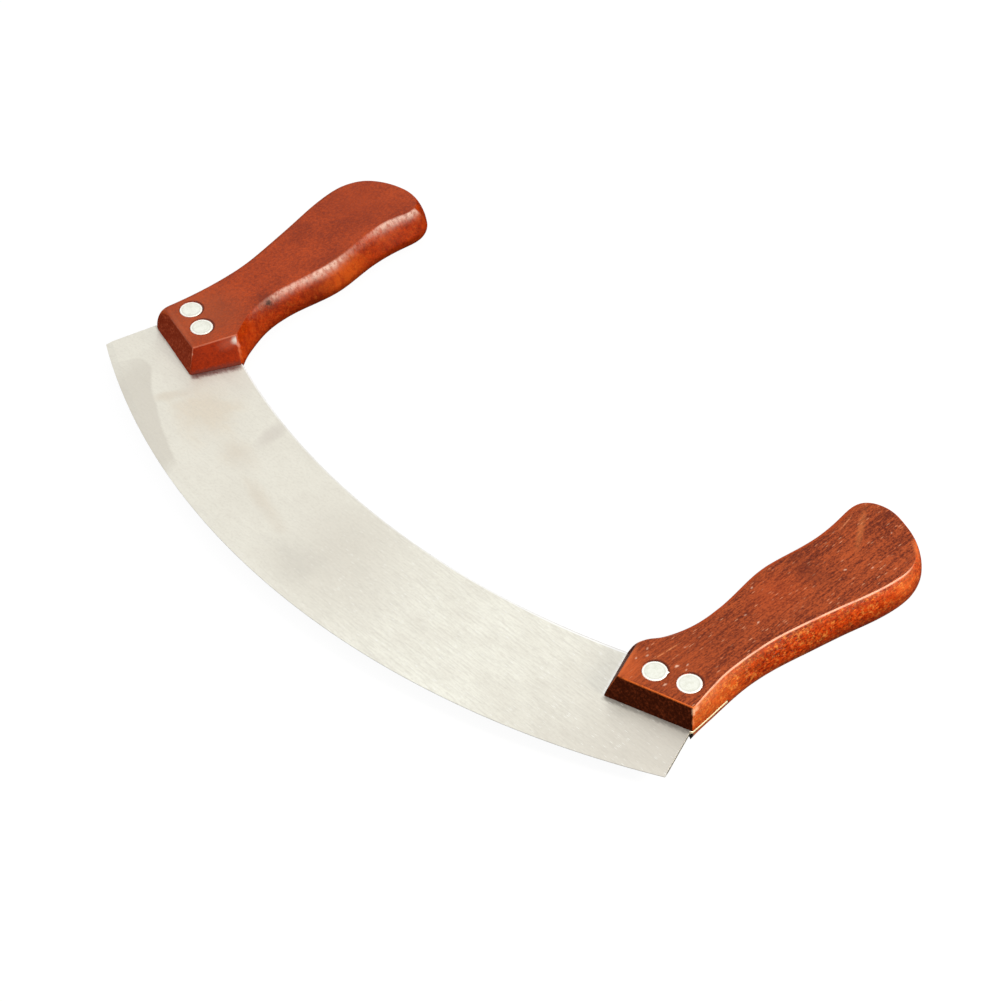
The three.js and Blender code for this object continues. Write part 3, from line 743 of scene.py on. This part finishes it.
        # polished by the hand next to the top arris, duller below it
        z = k.math("MULTIPLY_ADD", k.math("SUBTRACT", comb, 0.5), 4.0, pos.outputs[2])
        rough = k.math("ADD", rough, k.step(z, look["band"][1], look["band"][0], 0.0, look["band"][2]))
    rough = k.math("MULTIPLY_ADD", pore, 0.15 * grain, rough, clamp=True)
    height = k.math("MULTIPLY_ADD", pore, -0.8 * grain, k.math("MULTIPLY_ADD", hair, 0.5, k.math("MULTIPLY_ADD", comb if part == "flank" else mottle, 0.7, k.math("MULTIPLY", fine, 0.6))))
    bump = k.node("ShaderNodeBump", {"Height": height, "Strength": look["bump"] * (look["rippled"] if part == "flank" else 1.0), "Distance": 0.00012})
    bsdf = k.node("ShaderNodeBsdfPrincipled", {"Base Color": col, "Roughness": rough, "Specular IOR Level": shine, "Normal": bump.outputs[0]})
    k.tree.links.new(bsdf.outputs[0], k.out.inputs[0])
    return k.mat


def steel(name):
    """Satin sheet steel, brushed along x, with cloudy marks, partly handling marks and partly painted reflections, and
    painted shade and highlights.
    """
    k = Nodes(name)
    obj = k.node("ShaderNodeTexCoord").outputs["Object"]
    mm = k.stretch(obj, (1000, 1000, 1000))
    plan = k.node("ShaderNodeVectorMath", {0: mm, 1: (0.0, 79.844, 0.0)}, operation="ADD").outputs[0]
    plan = k.node("ShaderNodeVectorMath", {0: plan, 1: (1.0, 1.0, 0.0)}, operation="MULTIPLY").outputs[0]
    pos = k.node("ShaderNodeSeparateXYZ", {0: plan})
    x, y = pos.outputs[0], pos.outputs[1]
    lines = k.noise(k.stretch(mm, (0.16, 1.5, 1.5)), 3.0, 0.68)
    long = k.noise(k.stretch(mm, (0.02, 0.7, 0.7)), 3.0, 0.6)
    cloud = k.noise(k.stretch(mm, (0.07, 0.11, 0.11), (3.1, 8.2, 0)), 4.0, 0.6)
    speck = k.noise(k.stretch(mm, (0.9, 1.4, 1.4), (1, 4, 2)), 2.0, 0.6)
    glint = k.node("ShaderNodeTexVoronoi", {"Vector": k.stretch(mm, (0.36, 2.4, 2.4)), "Scale": 1.0}, feature="F1")
    seldom = k.node("ShaderNodeSeparateColor", {0: glint.outputs["Color"]})
    spark = k.math("MULTIPLY", k.step(glint.outputs["Distance"], 0.36, 0.08), k.step(seldom.outputs[0], 0.55, 0.98))
    brushed = k.step(x, -40.0, 45.0, 0.22, 1.0)
    # painted reflection: the sheet's tone brightens towards x = 60 mm and darkens again towards the right end, standing
    # in for a broad reflection
    col = k.mix(k.step(x, 2.0, 58.0), rgb(237, 234, 222), rgb(248, 247, 235))
    col = k.mix(k.step(x, 62.0, 134.0), col, rgb(222, 217, 206))
    # cloudy greys in the middle, warm smudges on the left: partly handling marks, partly painted reflections
    for centre, size, turn, soft, tint, amount in (
        ((-4, 32, 0), (14, 11, 1), 0.0, 0.8, rgb(223, 218, 206), 0.60),
        ((6, 19, 0), (16, 11, 1), 0.0, 0.8, rgb(223, 218, 206), 0.45),
        ((-8, 11, 0), (10, 6, 1), 0.1, 0.8, rgb(215, 211, 200), 0.65),
        ((-58.5, 44.5, 0), (2.6, 5.8, 1), -0.2, 0.8, rgb(213, 206, 196), 0.6),
        ((-84, 37, 0), (12, 9, 1), 0.5, 0.8, rgb(226, 215, 196), 0.75),
        ((-98, 33.5, 0), (2.0, 6.5, 1), 0.478, 0.7, rgb(222, 212, 194), 0.6),
        ((-60, 30.5, 0), (7, 4.5, 1), 0.25, 0.8, rgb(224, 214, 197), 0.65),
        ((-36.7, 22, 0), (11, 2.6, 1), 0.23, 0.8, rgb(225, 216, 200), 0.65),
        ((-88, 54, 0), (8, 5, 1), 0.5, 0.8, rgb(222, 214, 202), 0.5),
    ):
        col = k.mix(k.math("MULTIPLY", blob(k, plan, centre, size, soft, turn, cloud, 2.4), amount), col, tint)
    # a duller strip along the cutting edge near the left tip, with a fairly crisp border
    rest = k.node("ShaderNodeVectorMath", {0: plan, 1: (0.0, -EDGE_RADIUS, 0.0)}, operation="ADD").outputs[0]
    inside = k.math("SUBTRACT", EDGE_RADIUS, k.node("ShaderNodeVectorMath", {0: rest}, operation="LENGTH").outputs["Value"])
    reach = k.node("ShaderNodeFloatCurve", {"Value": k.step_line(x, -128.0, -62.0)})
    curve = reach.mapping.curves[0]
    spots = [(-128, 0), (-126, 0.3), (-124, 4.2), (-119, 11), (-114, 12.3), (-109, 11.2), (-102.5, 9.5), (-98, 9.0), (-93, 7.9), (-87, 6.9), (-79, 6.1), (-72.6, 5.4), (-69.5, 4.4), (-67, 0), (-62, 0)]
    curve.points[0].location = (0.0, 0.0)
    curve.points[1].location = (1.0, 0.0)
    for px, py in spots[1:-1]:
        curve.points.new((px + 128) / 66, py / 20)
    reach.mapping.update()
    width = k.math("MULTIPLY_ADD", k.math("SUBTRACT", cloud, 0.5), 2.0, k.math("MULTIPLY", reach.outputs[0], 20.0))
    strip = k.math("MULTIPLY", k.step(k.math("SUBTRACT", width, inside), -0.5, 1.0), k.math("MULTIPLY", k.step(x, -126.0, -114.0, 0.2, 1.0), k.step(x, -66.5, -76.0)))
    col = k.mix(k.math("MULTIPLY", strip, 0.80), col, rgb(217, 212, 200))
    # painted shade and light along the joints with the grips: dark bands for the grips' shadow and dark reflection on
    # the steel, and a bright strip beside the right shoulder: (start, end, reach, colour, amount)
    frayed = k.noise(k.stretch(mm, (0.5, 0.9, 0.9), (9, 1, 3)), 3.0, 0.6)
    for start, end, deep, tint, amount in (
        ((-101.5, 43.7), (-93.2, 60.1), 2.4, (0.19, 0.036, 0.030, 1), 0.92),
        ((-131.0, 51.6), (-101.5, 43.7), 0.6, rgb(150, 142, 132), 0.4),
        ((101.6, 42.9), (130.6, 52.0), 1.7, rgb(128, 122, 116), 0.75),
        ((101.6, 42.9), (94.4, 60.4), 0.8, rgb(255, 255, 250), 0.85),
    ):
        run = np.array(end) - np.array(start)
        size = float(np.linalg.norm(run))
        run = run / size
        out = np.array([run[1], -run[0]]) * (1 if end[1] - start[1] > 0 or run[0] > 0 else -1)
        if start[0] > 0 and end[0] < start[0]:
            out = -out
        at = k.node("ShaderNodeVectorMath", {0: plan, 1: (-start[0], -start[1], 0.0)}, operation="ADD").outputs[0]
        away = k.node("ShaderNodeVectorMath", {0: at, 1: (float(out[0]), float(out[1]), 0.0)}, operation="DOT_PRODUCT").outputs["Value"]
        along = k.node("ShaderNodeVectorMath", {0: at, 1: (float(run[0]), float(run[1]), 0.0)}, operation="DOT_PRODUCT").outputs["Value"]
        away = k.math("MULTIPLY_ADD", k.math("SUBTRACT", frayed, 0.5), deep * 1.2, away)
        here = k.math("MULTIPLY", k.step(away, deep * 1.3, deep * 0.3), k.math("MULTIPLY", k.step(along, -0.6, 1.2), k.step(along, size + 0.4, size - 1.4)))
        col = k.mix(k.math("MULTIPLY", here, amount), col, tint)
    # brush marks
    col = k.mix(k.math("MULTIPLY", k.step(lines, 0.35, 0.75), k.math("MULTIPLY", brushed, 0.46)), col, rgb(209, 205, 195))
    # painted glints: short bright dashes along the brushing
    col = k.mix(k.math("MULTIPLY", spark, k.math("MULTIPLY", brushed, 0.95)), col, rgb(255, 255, 250))
    col = k.mix(k.math("MULTIPLY", k.step(long, 0.45, 0.8), 0.14), col, rgb(209, 205, 195))
    col = k.mix(k.math("MULTIPLY", k.step(cloud, 0.40, 0.70), 0.30), col, rgb(222, 217, 205))
    col = k.mix(k.math("MULTIPLY", k.step(speck, 0.42, 0.78), 0.26), col, rgb(208, 202, 189))
    # the concave edge: a painted highlight along its arris, and a painted grey line at the very rim towards the right
    rest = k.node("ShaderNodeVectorMath", {0: plan, 1: (0.0, -BLADE_WIDTH - SPINE_RADIUS, 0.0)}, operation="ADD").outputs[0]
    depth = k.math("SUBTRACT", k.node("ShaderNodeVectorMath", {0: rest}, operation="LENGTH").outputs["Value"], SPINE_RADIUS)
    broad = k.step(x, 40.0, 80.0, 0.5, 0.85)
    arris_highlight = k.math("MULTIPLY", k.step(k.math("SUBTRACT", depth, broad), 0.15, -0.15), k.math("MAXIMUM", k.step(x, 14.0, 32.0, 0.45, 0.95), k.step(x, -55.0, -68.0, 0.0, 0.8)))
    col = k.mix(arris_highlight, col, rgb(255, 255, 253))
    col = k.mix(k.math("MULTIPLY", k.step(depth, 0.34, 0.10), k.step(x, 42.0, 80.0, 0.0, 0.7)), col, rgb(190, 184, 176))
    rough = k.math("MULTIPLY_ADD", lines, 0.10, 0.33)
    bump = k.node("ShaderNodeBump", {"Height": lines, "Strength": 0.10, "Distance": 0.00003})
    # brushed along x, so reflections smear across the brushing
    across = k.node("ShaderNodeVectorMath", {0: k.node("ShaderNodeNewGeometry").outputs["Normal"], 1: (1.0, 0.0, 0.0)}, operation="CROSS_PRODUCT")
    bsdf = k.node("ShaderNodeBsdfPrincipled", {
        "Base Color": col, "Metallic": 0.85, "Roughness": rough, "Anisotropic": 0.9, "Tangent": across.outputs[0], "Normal": bump.outputs[0]})
    k.tree.links.new(bsdf.outputs[0], k.out.inputs[0])
    return k.mat


def ground_edge(name):
    """The tang's end, ground flush with the grip, coloured pale cream: a painted highlight for the bright line it
    shows.
    """
    k = Nodes(name)
    mm = k.stretch(k.node("ShaderNodeTexCoord").outputs["Object"], (1000, 1000, 1000))
    lines = k.noise(k.stretch(mm, (2.0, 0.3, 3.0)), 3.0, 0.6)
    col = k.mix(k.step(lines, 0.3, 0.75), (0.97, 0.89, 0.64, 1), (0.88, 0.75, 0.48, 1))
    rough = k.math("MULTIPLY_ADD", lines, 0.15, 0.60)
    bsdf = k.node("ShaderNodeBsdfPrincipled", {"Base Color": col, "Metallic": 0.3, "Roughness": rough})
    k.tree.links.new(bsdf.outputs[0], k.out.inputs[0])
    return k.mat


def aluminium(name):
    """Soft aluminium rivet heads, lightly sanded flush."""
    k = Nodes(name)
    obj = k.node("ShaderNodeTexCoord").outputs["Object"]
    mm = k.stretch(obj, (1000, 1000, 1000), (0, 0, 0), (0, 0, 0.4))
    lines = k.noise(k.stretch(mm, (0.5, 3.0, 3.0)), 3.0, 0.6)
    spots = k.noise(k.stretch(mm, (0.8, 0.8, 0.8)), 3.0, 0.6)
    col = k.mix(k.step(spots, 0.38, 0.7), rgb(242, 243, 232), rgb(231, 232, 219))
    col = k.mix(k.math("MULTIPLY", k.step(lines, 0.5, 0.8), 0.35), col, rgb(226, 227, 215))
    # a painted highlight on the rim of the pressed head, with a painted darker ring just inside it
    radius = k.node("ShaderNodeAttribute", attribute_name="radius").outputs["Fac"]
    col = k.mix(k.math("MULTIPLY", k.math("MULTIPLY", k.step(radius, 2.7, 3.0), k.step(radius, 3.5, 3.25)), 0.35), col, rgb(208, 208, 196))
    col = k.mix(k.step(radius, 3.25, 3.5), col, rgb(255, 255, 250))
    rough = k.math("ADD", k.math("MULTIPLY_ADD", spots, 0.2, 0.26), k.step(radius, 3.25, 3.5, 0.0, 0.30))
    bump = k.node("ShaderNodeBump", {"Height": k.math("ADD", lines, spots), "Strength": 0.15, "Distance": 0.00004})
    bsdf = k.node("ShaderNodeBsdfPrincipled", {"Base Color": col, "Metallic": 1.0, "Roughness": rough, "Normal": bump.outputs[0]})
    k.tree.links.new(bsdf.outputs[0], k.out.inputs[0])
    return k.mat


def floor_material():
    k = Nodes("floor_white")
    path = k.node("ShaderNodeLightPath")
    diffuse = k.node("ShaderNodeBsdfDiffuse", {"Color": (0.08, 0.08, 0.08, 1)})
    glow = k.node("ShaderNodeEmission", {"Color": (1, 1, 1, 1), "Strength": 0.95})
    seen = k.node("ShaderNodeMixShader", {0: path.outputs["Is Camera Ray"]})
    add = k.node("ShaderNodeAddShader")
    k.tree.links.new(diffuse.outputs[0], add.inputs[0])
    k.tree.links.new(glow.outputs[0], add.inputs[1])
    k.tree.links.new(diffuse.outputs[0], seen.inputs[1])
    k.tree.links.new(add.outputs[0], seen.inputs[2])
    # from below the floor is clear, so that the underside can be looked at
    back = k.node("ShaderNodeMixShader", {0: k.node("ShaderNodeNewGeometry").outputs["Backfacing"]})
    clear = k.node("ShaderNodeBsdfTransparent")
    k.tree.links.new(seen.outputs[0], back.inputs[1])
    k.tree.links.new(clear.outputs[0], back.inputs[2])
    k.tree.links.new(back.outputs[0], k.out.inputs[0])
    return k.mat


# --------------------------------------------------------------------- assembly

RIGHT_LOOK = dict(
    grain=1.0, broad=0.7, mottle=1.5, comb=0.3, seed=(11, 5, 2), turn=(0, 0, 0), gloss=0.24, shine=0.18, bump=0.4, rippled=2.0, band=None,
    light=(0.352, 0.0640, 0.0143, 1), dark=(0.098, 0.0115, 0.0022, 1), deep=(0.050, 0.007, 0.002, 1), pore=0.35, foot=(0.0, 1.0, 0.3),
    fleck=(0.62, 0.29, 0.165, 1), flecks=0.72, side=(1.68, 0.92, 0.14, 1), grit=(0.7, 0.7), rim=(0.60, 0.085, 0.015, 1),
    late=(
        # painted shade: near black on the front end of the lower cheek, under the blade
        ((130.4, 51.3, -1.6), (1.7, 1.3, 1.6), 0.0, 0.15, (0.006, 0.004, 0.004, 1), 1.0),
        ((129.5, 52.4, -3.4), (1.6, 1.3, 1.7), 0.0, 0.15, (0.006, 0.004, 0.004, 1), 1.0),
        ((128.4, 53.5, -5.3), (1.6, 1.3, 1.7), 0.0, 0.15, (0.006, 0.004, 0.004, 1), 1.0),
        # painted highlights at the top of the front upright corner and partway down it
        ((129.0, 53.9, 7.1), (0.55, 0.55, 1.7), 0.0, 0.6, (0.95, 0.52, 0.32, 1), 0.75),
        ((129.2, 55.3, 7.3), (0.65, 1.2, 0.9), 0.0, 0.6, (0.95, 0.52, 0.32, 1), 0.65),
        ((129.9, 52.9, 4.2), (0.4, 0.4, 2.4), 0.0, 0.6, (0.92, 0.30, 0.12, 1), 0.5),
        ((132.0, 151.6, 7.2), (4.0, 0.9, 1.6), 0.61, 0.7, (0.80, 0.19, 0.05, 1), 0.5),
        # painted highlight on the side near the butt
        ((139.4, 140.0, 5.5), (1.6, 5.0, 2.0), 0.0, 0.8, (0.95, 0.22, 0.05, 1), 0.35),
    ), cheek=(0.40, 0.40, 0.8, 1),
    gold=(0.95, 0.37, 0.075, 1), golden=0.58, low=(-1.0, 4.0, 0.60, 98.0), turned_under_shade=(0.28, 0.19, 0.22, 1),
    end=(0.045, 0.006, 0.001, 1), end_light=(0.17, 0.030, 0.008, 1), worn_and_lit=(0.90, 0.47, 0.33, 1), wear_and_highlight=0.70,
    front=((-0.283, 0.959, 0.0), 15.83, (0.98, 0.20, 0.035, 1)), crest_highlight=(0.86, 0.40, 0.22, 1), seats=("right_inner", "right_outer"),
    marks=(
        ((107.1, 64.5, 8.2), (0.24, 4.7, 2.0), 0.088, 0.6, (0.78, 0.30, 0.12, 1), 0.75),
        ((113.6, 146.1, 8.2), (0.9, 7.4, 2.0), -0.594, 0.9, (0.62, 0.20, 0.06, 1), 0.28),
        ((109.4, 143.6, 8.2), (0.26, 3.6, 2.0), -0.2, 0.6, (0.04, 0.006, 0.002, 1), 0.6),
        ((108.6, 144.4, 8.2), (0.22, 3.4, 2.0), -0.2, 0.6, (0.66, 0.27, 0.13, 1), 0.5),
        ((112.5, 121.0, 8.2), (6.0, 3.0, 3.0), 0.3, 0.8, (0.10, 0.014, 0.004, 1), 0.30),
        ((114.0, 106.0, 8.2), (6.0, 9.0, 3.0), 0.0, 0.9, (0.46, 0.064, 0.011, 1), 0.25),
        ((129.0, 60.0, 5.5), (5.0, 17.0, 5.0), 0.0, 0.6, (0.37, 0.140, 0.150, 1), 0.55, ("flank",)),
        ((135.5, 121.0, 4.0), (5.0, 12.0, 6.0), 0.0, 0.6, (0.21, 0.026, 0.012, 1), 0.12, ("flank",)),
        ((138.5, 142.0, 4.0), (5.0, 8.0, 6.0), 0.0, 0.6, (0.38, 0.130, 0.130, 1), 0.25, ("flank",)),
        ((129.5, 57.0, -3.0), (4.0, 9.0, 2.4), 0.0, 0.3, (0.36, 0.150, 0.36, 1), 0.85, ("flank",)),
        ((101.6, 53.0, 8.2), (0.8, 6.4, 2.0), -0.341, 0.8, (0.66, 0.150, 0.040, 1), 0.6, ("face",)),
        ((112.0, 60.0, 8.2), (11.0, 12.0, 3.0), 0.0, 0.9, (0.33, 0.060, 0.0135, 1), 0.38, ("face",)),
        ((104.4, 51.0, 8.2), (3.0, 6.0, 2.0), -0.341, 0.9, (0.58, 0.110, 0.024, 1), 0.45, ("face",)),
        ((118.0, 121.0, 8.2), (5.0, 4.5, 3.0), 0.2, 0.8, (0.10, 0.014, 0.004, 1), 0.28, ("face",)),
        ((115.0, 80.0, 8.2), (6.0, 8.0, 3.0), 0.0, 0.8, (0.12, 0.016, 0.004, 1), 0.14, ("face",)),
    ),
    glint_specks=(
        (113.5, 62.6, 0.50, 0.8), (115.5, 65.2, 0.35, 0.5), (116.6, 63.5, 0.32, 0.45), (116.2, 54.6, 0.45, 0.7), (102.5, 56.1, 0.34, 0.5),
        (102.2, 61.3, 0.36, 0.4), (104.2, 59.3, 0.36, 0.5), (109.9, 69.8, 0.32, 0.35), (107.0, 102.6, 0.34, 0.5), (113.6, 92.7, 0.32, 0.4),
        (118.5, 93.3, 0.36, 0.6), (122.2, 129.0, 0.38, 0.6), (127.6, 135.8, 0.36, 0.5), (121.7, 151.5, 0.30, 0.4),
    ),
)
LEFT_LOOK = dict(
    grain=0.45, broad=1.8, mottle=2.0, comb=1.2, seed=(-31, 27, 8), turn=(0.5, 0, 0), gloss=0.16, shine=0.10, bump=0.45, rippled=0.8, band=(4.0, 6.8, 0.34),
    light=(0.46, 0.061, 0.009, 1), dark=(0.225, 0.025, 0.004, 1), deep=(0.12, 0.014, 0.003, 1), pore=0.05, foot=(0.9, 2.4, 0.85),
    fleck=(0.55, 0.16, 0.06, 1), flecks=0.12, side=(1.12, 0.78, 0.24, 1), grit=(0.75, 0.32), rim=(0.50, 0.085, 0.020, 1), cheek=(0.75, 0.44, 0.24, 1),
    gold=(0.80, 0.22, 0.03, 1), golden=0.2, low=(-2.0, 3.0, 0.45, -50.0), turned_under_shade=(0.55, 0.45, 0.5, 1),
    end=(0.25, 0.028, 0.008, 1), end_light=(0.46, 0.080, 0.032, 1), worn_and_lit=(0.74, 0.26, 0.16, 1), wear_and_highlight=0.50,
    front=None, late=(
        ((-105.2, 83.6, 7.7), (1.5, 1.6, 1.8), 0.0, 0.35, (0.035, 0.014, 0.014, 1), 0.85),
        # painted highlights down the inner upright corner, palest at the top
        ((-97.5, 62.6, 6.0), (0.7, 0.7, 1.5), 0.0, 0.6, (0.80, 0.30, 0.20, 1), 0.6),
        ((-96.2, 62.0, 4.0), (0.7, 0.7, 1.5), 0.0, 0.6, (0.72, 0.17, 0.06, 1), 0.5),
        ((-95.2, 61.3, 2.0), (0.7, 0.7, 1.5), 0.0, 0.6, (0.68, 0.14, 0.03, 1), 0.5),
        ((-102.2, 151.4, 6.2), (4.5, 1.6, 2.4), 0.62, 0.6, (0.72, 0.15, 0.045, 1), 0.55),
    ), crest_highlight=(0.80, 0.52, 0.44, 1), seats=("left_inner", "left_outer"),
    marks=(
        ((-106.5, 83.3, 8.2), (3.6, 3.2, 3.0), 0.0, 0.8, (0.09, 0.013, 0.006, 1), 0.55),
        ((-105.2, 83.6, 7.7), (1.5, 1.7, 1.8), 0.0, 0.25, (0.012, 0.006, 0.006, 1), 0.95),
        # painted shade low on the side at the bulge
        ((-102.5, 102.0, 2.5), (4.0, 6.0, 4.5), 0.0, 0.6, (0.15, 0.020, 0.006, 1), 0.45),
        ((-102.5, 116.0, 4.0), (4.0, 10.0, 6.0), 0.0, 0.6, (0.60, 0.145, 0.030, 1), 0.55),
        # painted highlight on the shoulder, near the top of the inner corner
        ((-99.9, 60.6, 6.7), (2.2, 3.6, 1.5), 0.0, 0.9, (0.72, 0.36, 0.40, 1), 0.32, ("shoulder",)),
        ((-98.9, 62.8, 6.9), (1.0, 1.4, 1.2), 0.0, 0.9, (1.0, 1.5, 2.6, 1), 0.95, ("shoulder",)),
        # painted highlight on the upper part of the corner between the front and the shoulder
        ((-104.2, 47.5, 6.3), (0.3, 0.35, 1.6), 0.0, 0.6, (0.95, 0.9, 1.2, 1), 0.6, ("shoulder", "end")),
        ((-116.0, 61.0, 8.2), (12.0, 13.0, 3.0), 0.0, 0.8, (0.41, 0.095, 0.034, 1), 0.42, ("face",)),
        # painted highlight: a lighter strip on the face along the front crease
        ((-115.8, 52.3, 8.2), (11.5, 0.7, 2.0), 0.271, 0.6, (0.45, 0.120, 0.055, 1), 0.22, ("face",)),
        ((-99.0, 72.0, 4.5), (5.0, 10.0, 4.0), 0.0, 0.7, (0.50, 0.072, 0.012, 1), 0.35, ("flank",)),
        ((-103.0, 138.5, 5.0), (4.0, 6.0, 3.0), 0.0, 0.7, (0.36, 0.120, 0.140, 1), 0.35, ("flank",)),
        ((-124.0, 141.0, 8.2), (9.0, 9.0, 3.0), 0.0, 0.9, (0.27, 0.032, 0.006, 1), 0.45, ("face",)),
    ),
    glint_specks=(),
)
wood_right = [wood("wood_right_" + part, part, RIGHT_LOOK) for part in ("face", "flank", "end", "shoulder")]
wood_left = [wood("wood_left_" + part, part, LEFT_LOOK) for part in ("face", "flank", "end", "shoulder")]
steel_mat = steel("brushed_steel")
edge_mat = ground_edge("ground_edge")
alu_mat = aluminium("rivet_aluminium")

pieces = []


def finish_piece(obj, node, materials):
    for material in materials:
        obj.data.materials.append(material)
    if len(materials) == 4:
        # broad faces, carved sides, the sawn front end and the shoulder differ in polish
        for f in obj.data.polygons:
            nx, ny, nz = f.normal
            f.material_index = 0 if abs(nz) > 0.88 else 2 if ny < -0.72 else 3 if ny < -0.16 and f.center.y < -0.014 and abs(f.center.x) < 0.112 else 1
    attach(obj, "root")
    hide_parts(node)
    pieces.append(obj)


finish_piece(blade("blade_sheet"), "blade", [steel_mat, edge_mat])
finish_piece(grip("left_handle_carved", "left"), "left_handle", wood_left)
finish_piece(grip("right_handle_carved", "right"), "right_handle", wood_right)
for where in RIVETS:
    pin, sleeve = rivet_pin(where), rivet_sleeve(where)
    for piece, node in ((pin, f"rivet_pin_{where}"), (sleeve, f"rivet_sleeve_{where}")):
        shade(piece, 40)
        finish_piece(piece, node, [alu_mat])

# ------------------------------------------------------------- stage and camera

floor = new_object("floor", [(-3000, -3000, -6.05), (3000, -3000, -6.05), (3000, 3000, -6.05), (-3000, 3000, -6.05)], [(0, 1, 2, 3)])
floor.data.materials.append(floor_material())

scene = bpy.context.scene
AZ, EL, ROLL = math.radians(48.45117), math.radians(44.81403), math.radians(-2.16861)
back = Vector((math.sin(AZ) * math.cos(EL), -math.cos(AZ) * math.cos(EL), math.sin(EL)))
right = Vector((math.cos(AZ), math.sin(AZ), 0))
up = back.cross(right)
cam_x = right * math.cos(ROLL) + up * math.sin(ROLL)
cam_y = up * math.cos(ROLL) - right * math.sin(ROLL)
spot = Vector(to_row((18.19021, 78.52655, 0.0))) + (back * 891.88184 - cam_x * 0.1635 + cam_y * 0.1635) * 0.001
cam_data = bpy.data.cameras.new("camera")
cam_data.lens, cam_data.sensor_width, cam_data.sensor_fit = 98.006, 36.0, "HORIZONTAL"
cam_data.clip_start, cam_data.clip_end = 0.05, 20.0
cam = bpy.data.objects.new("camera", cam_data)
scene.collection.objects.link(cam)
cam.matrix_world = Matrix((
    (cam_x.x, cam_y.x, back.x, spot.x),
    (cam_x.y, cam_y.y, back.y, spot.y),
    (cam_x.z, cam_y.z, back.z, spot.z),
    (0, 0, 0, 1),
))
scene.camera = cam


def soft_light(name, where, size, power, aim=(0.0, 0.0, 0.0), colour=(1, 1, 1)):
    data = bpy.data.lights.new(name, "AREA")
    data.shape, data.size, data.size_y, data.energy, data.color = "RECTANGLE", size[0], size[1], power, colour
    lamp = bpy.data.objects.new(name, data)
    scene.collection.objects.link(lamp)
    lamp.location = where
    lamp.rotation_euler = (Vector(aim) - Vector(where)).to_track_quat("-Z", "Y").to_euler()
    return lamp


def toward(direction, reach, at=(0.0, 0.0, 0.0)):
    return tuple(Vector(at) + Vector(direction).normalized() * reach)


soft_light("key", toward((0.76, 0.30, 0.58), 0.75, (0.10, 0.0, 0.0)), (0.20, 0.20), 6.8, colour=(1.0, 0.92, 0.78))

# soft overhead dome: bright above, dim towards the horizon
world = bpy.data.worlds.new("studio")
scene.world = world
world.use_nodes = True
wt = world.node_tree
sky = wt.nodes.new("ShaderNodeTexCoord")
split = wt.nodes.new("ShaderNodeSeparateXYZ")
fade = wt.nodes.new("ShaderNodeMapRange")
fade.interpolation_type = "SMOOTHSTEP"
for key, value in (("From Min", 0.12), ("From Max", 0.55), ("To Min", 0.05), ("To Max", 1.10)):
    fade.inputs[key].default_value = value
wt.links.new(sky.outputs["Generated"], split.inputs[0])
wt.links.new(split.outputs[2], fade.inputs["Value"])
# and dark on the right, where the key stands
dusk = wt.nodes.new("ShaderNodeMapRange")
dusk.interpolation_type = "SMOOTHSTEP"
for key, value in (("From Min", 0.15), ("From Max", 0.55), ("To Min", 1.0), ("To Max", 0.10)):
    dusk.inputs[key].default_value = value
both = wt.nodes.new("ShaderNodeMath")
both.operation = "MULTIPLY"
wt.links.new(split.outputs[0], dusk.inputs["Value"])
wt.links.new(fade.outputs["Result"], both.inputs[0])
wt.links.new(dusk.outputs["Result"], both.inputs[1])
# some light from below, for when the thing is looked at from there
below = wt.nodes.new("ShaderNodeMapRange")
below.interpolation_type = "SMOOTHSTEP"
for key, value in (("From Min", -0.5), ("From Max", -0.15), ("To Min", 0.75), ("To Max", 0.0)):
    below.inputs[key].default_value = value
total = wt.nodes.new("ShaderNodeMath")
wt.links.new(split.outputs[2], below.inputs["Value"])
wt.links.new(both.outputs[0], total.inputs[0])
wt.links.new(below.outputs["Result"], total.inputs[1])
# beyond the floor's end the studio is plain white
beyond = wt.nodes.new("ShaderNodeMath")
beyond.operation = "MAXIMUM"
wt.links.new(total.outputs[0], beyond.inputs[0])
wt.links.new(wt.nodes.new("ShaderNodeLightPath").outputs["Is Camera Ray"], beyond.inputs[1])
wt.links.new(beyond.outputs[0], wt.nodes["Background"].inputs["Strength"])
wt.nodes["Background"].inputs["Color"].default_value = (1, 1, 1, 1)

scene.view_settings.view_transform = "Standard"
scene.view_settings.look = "None"
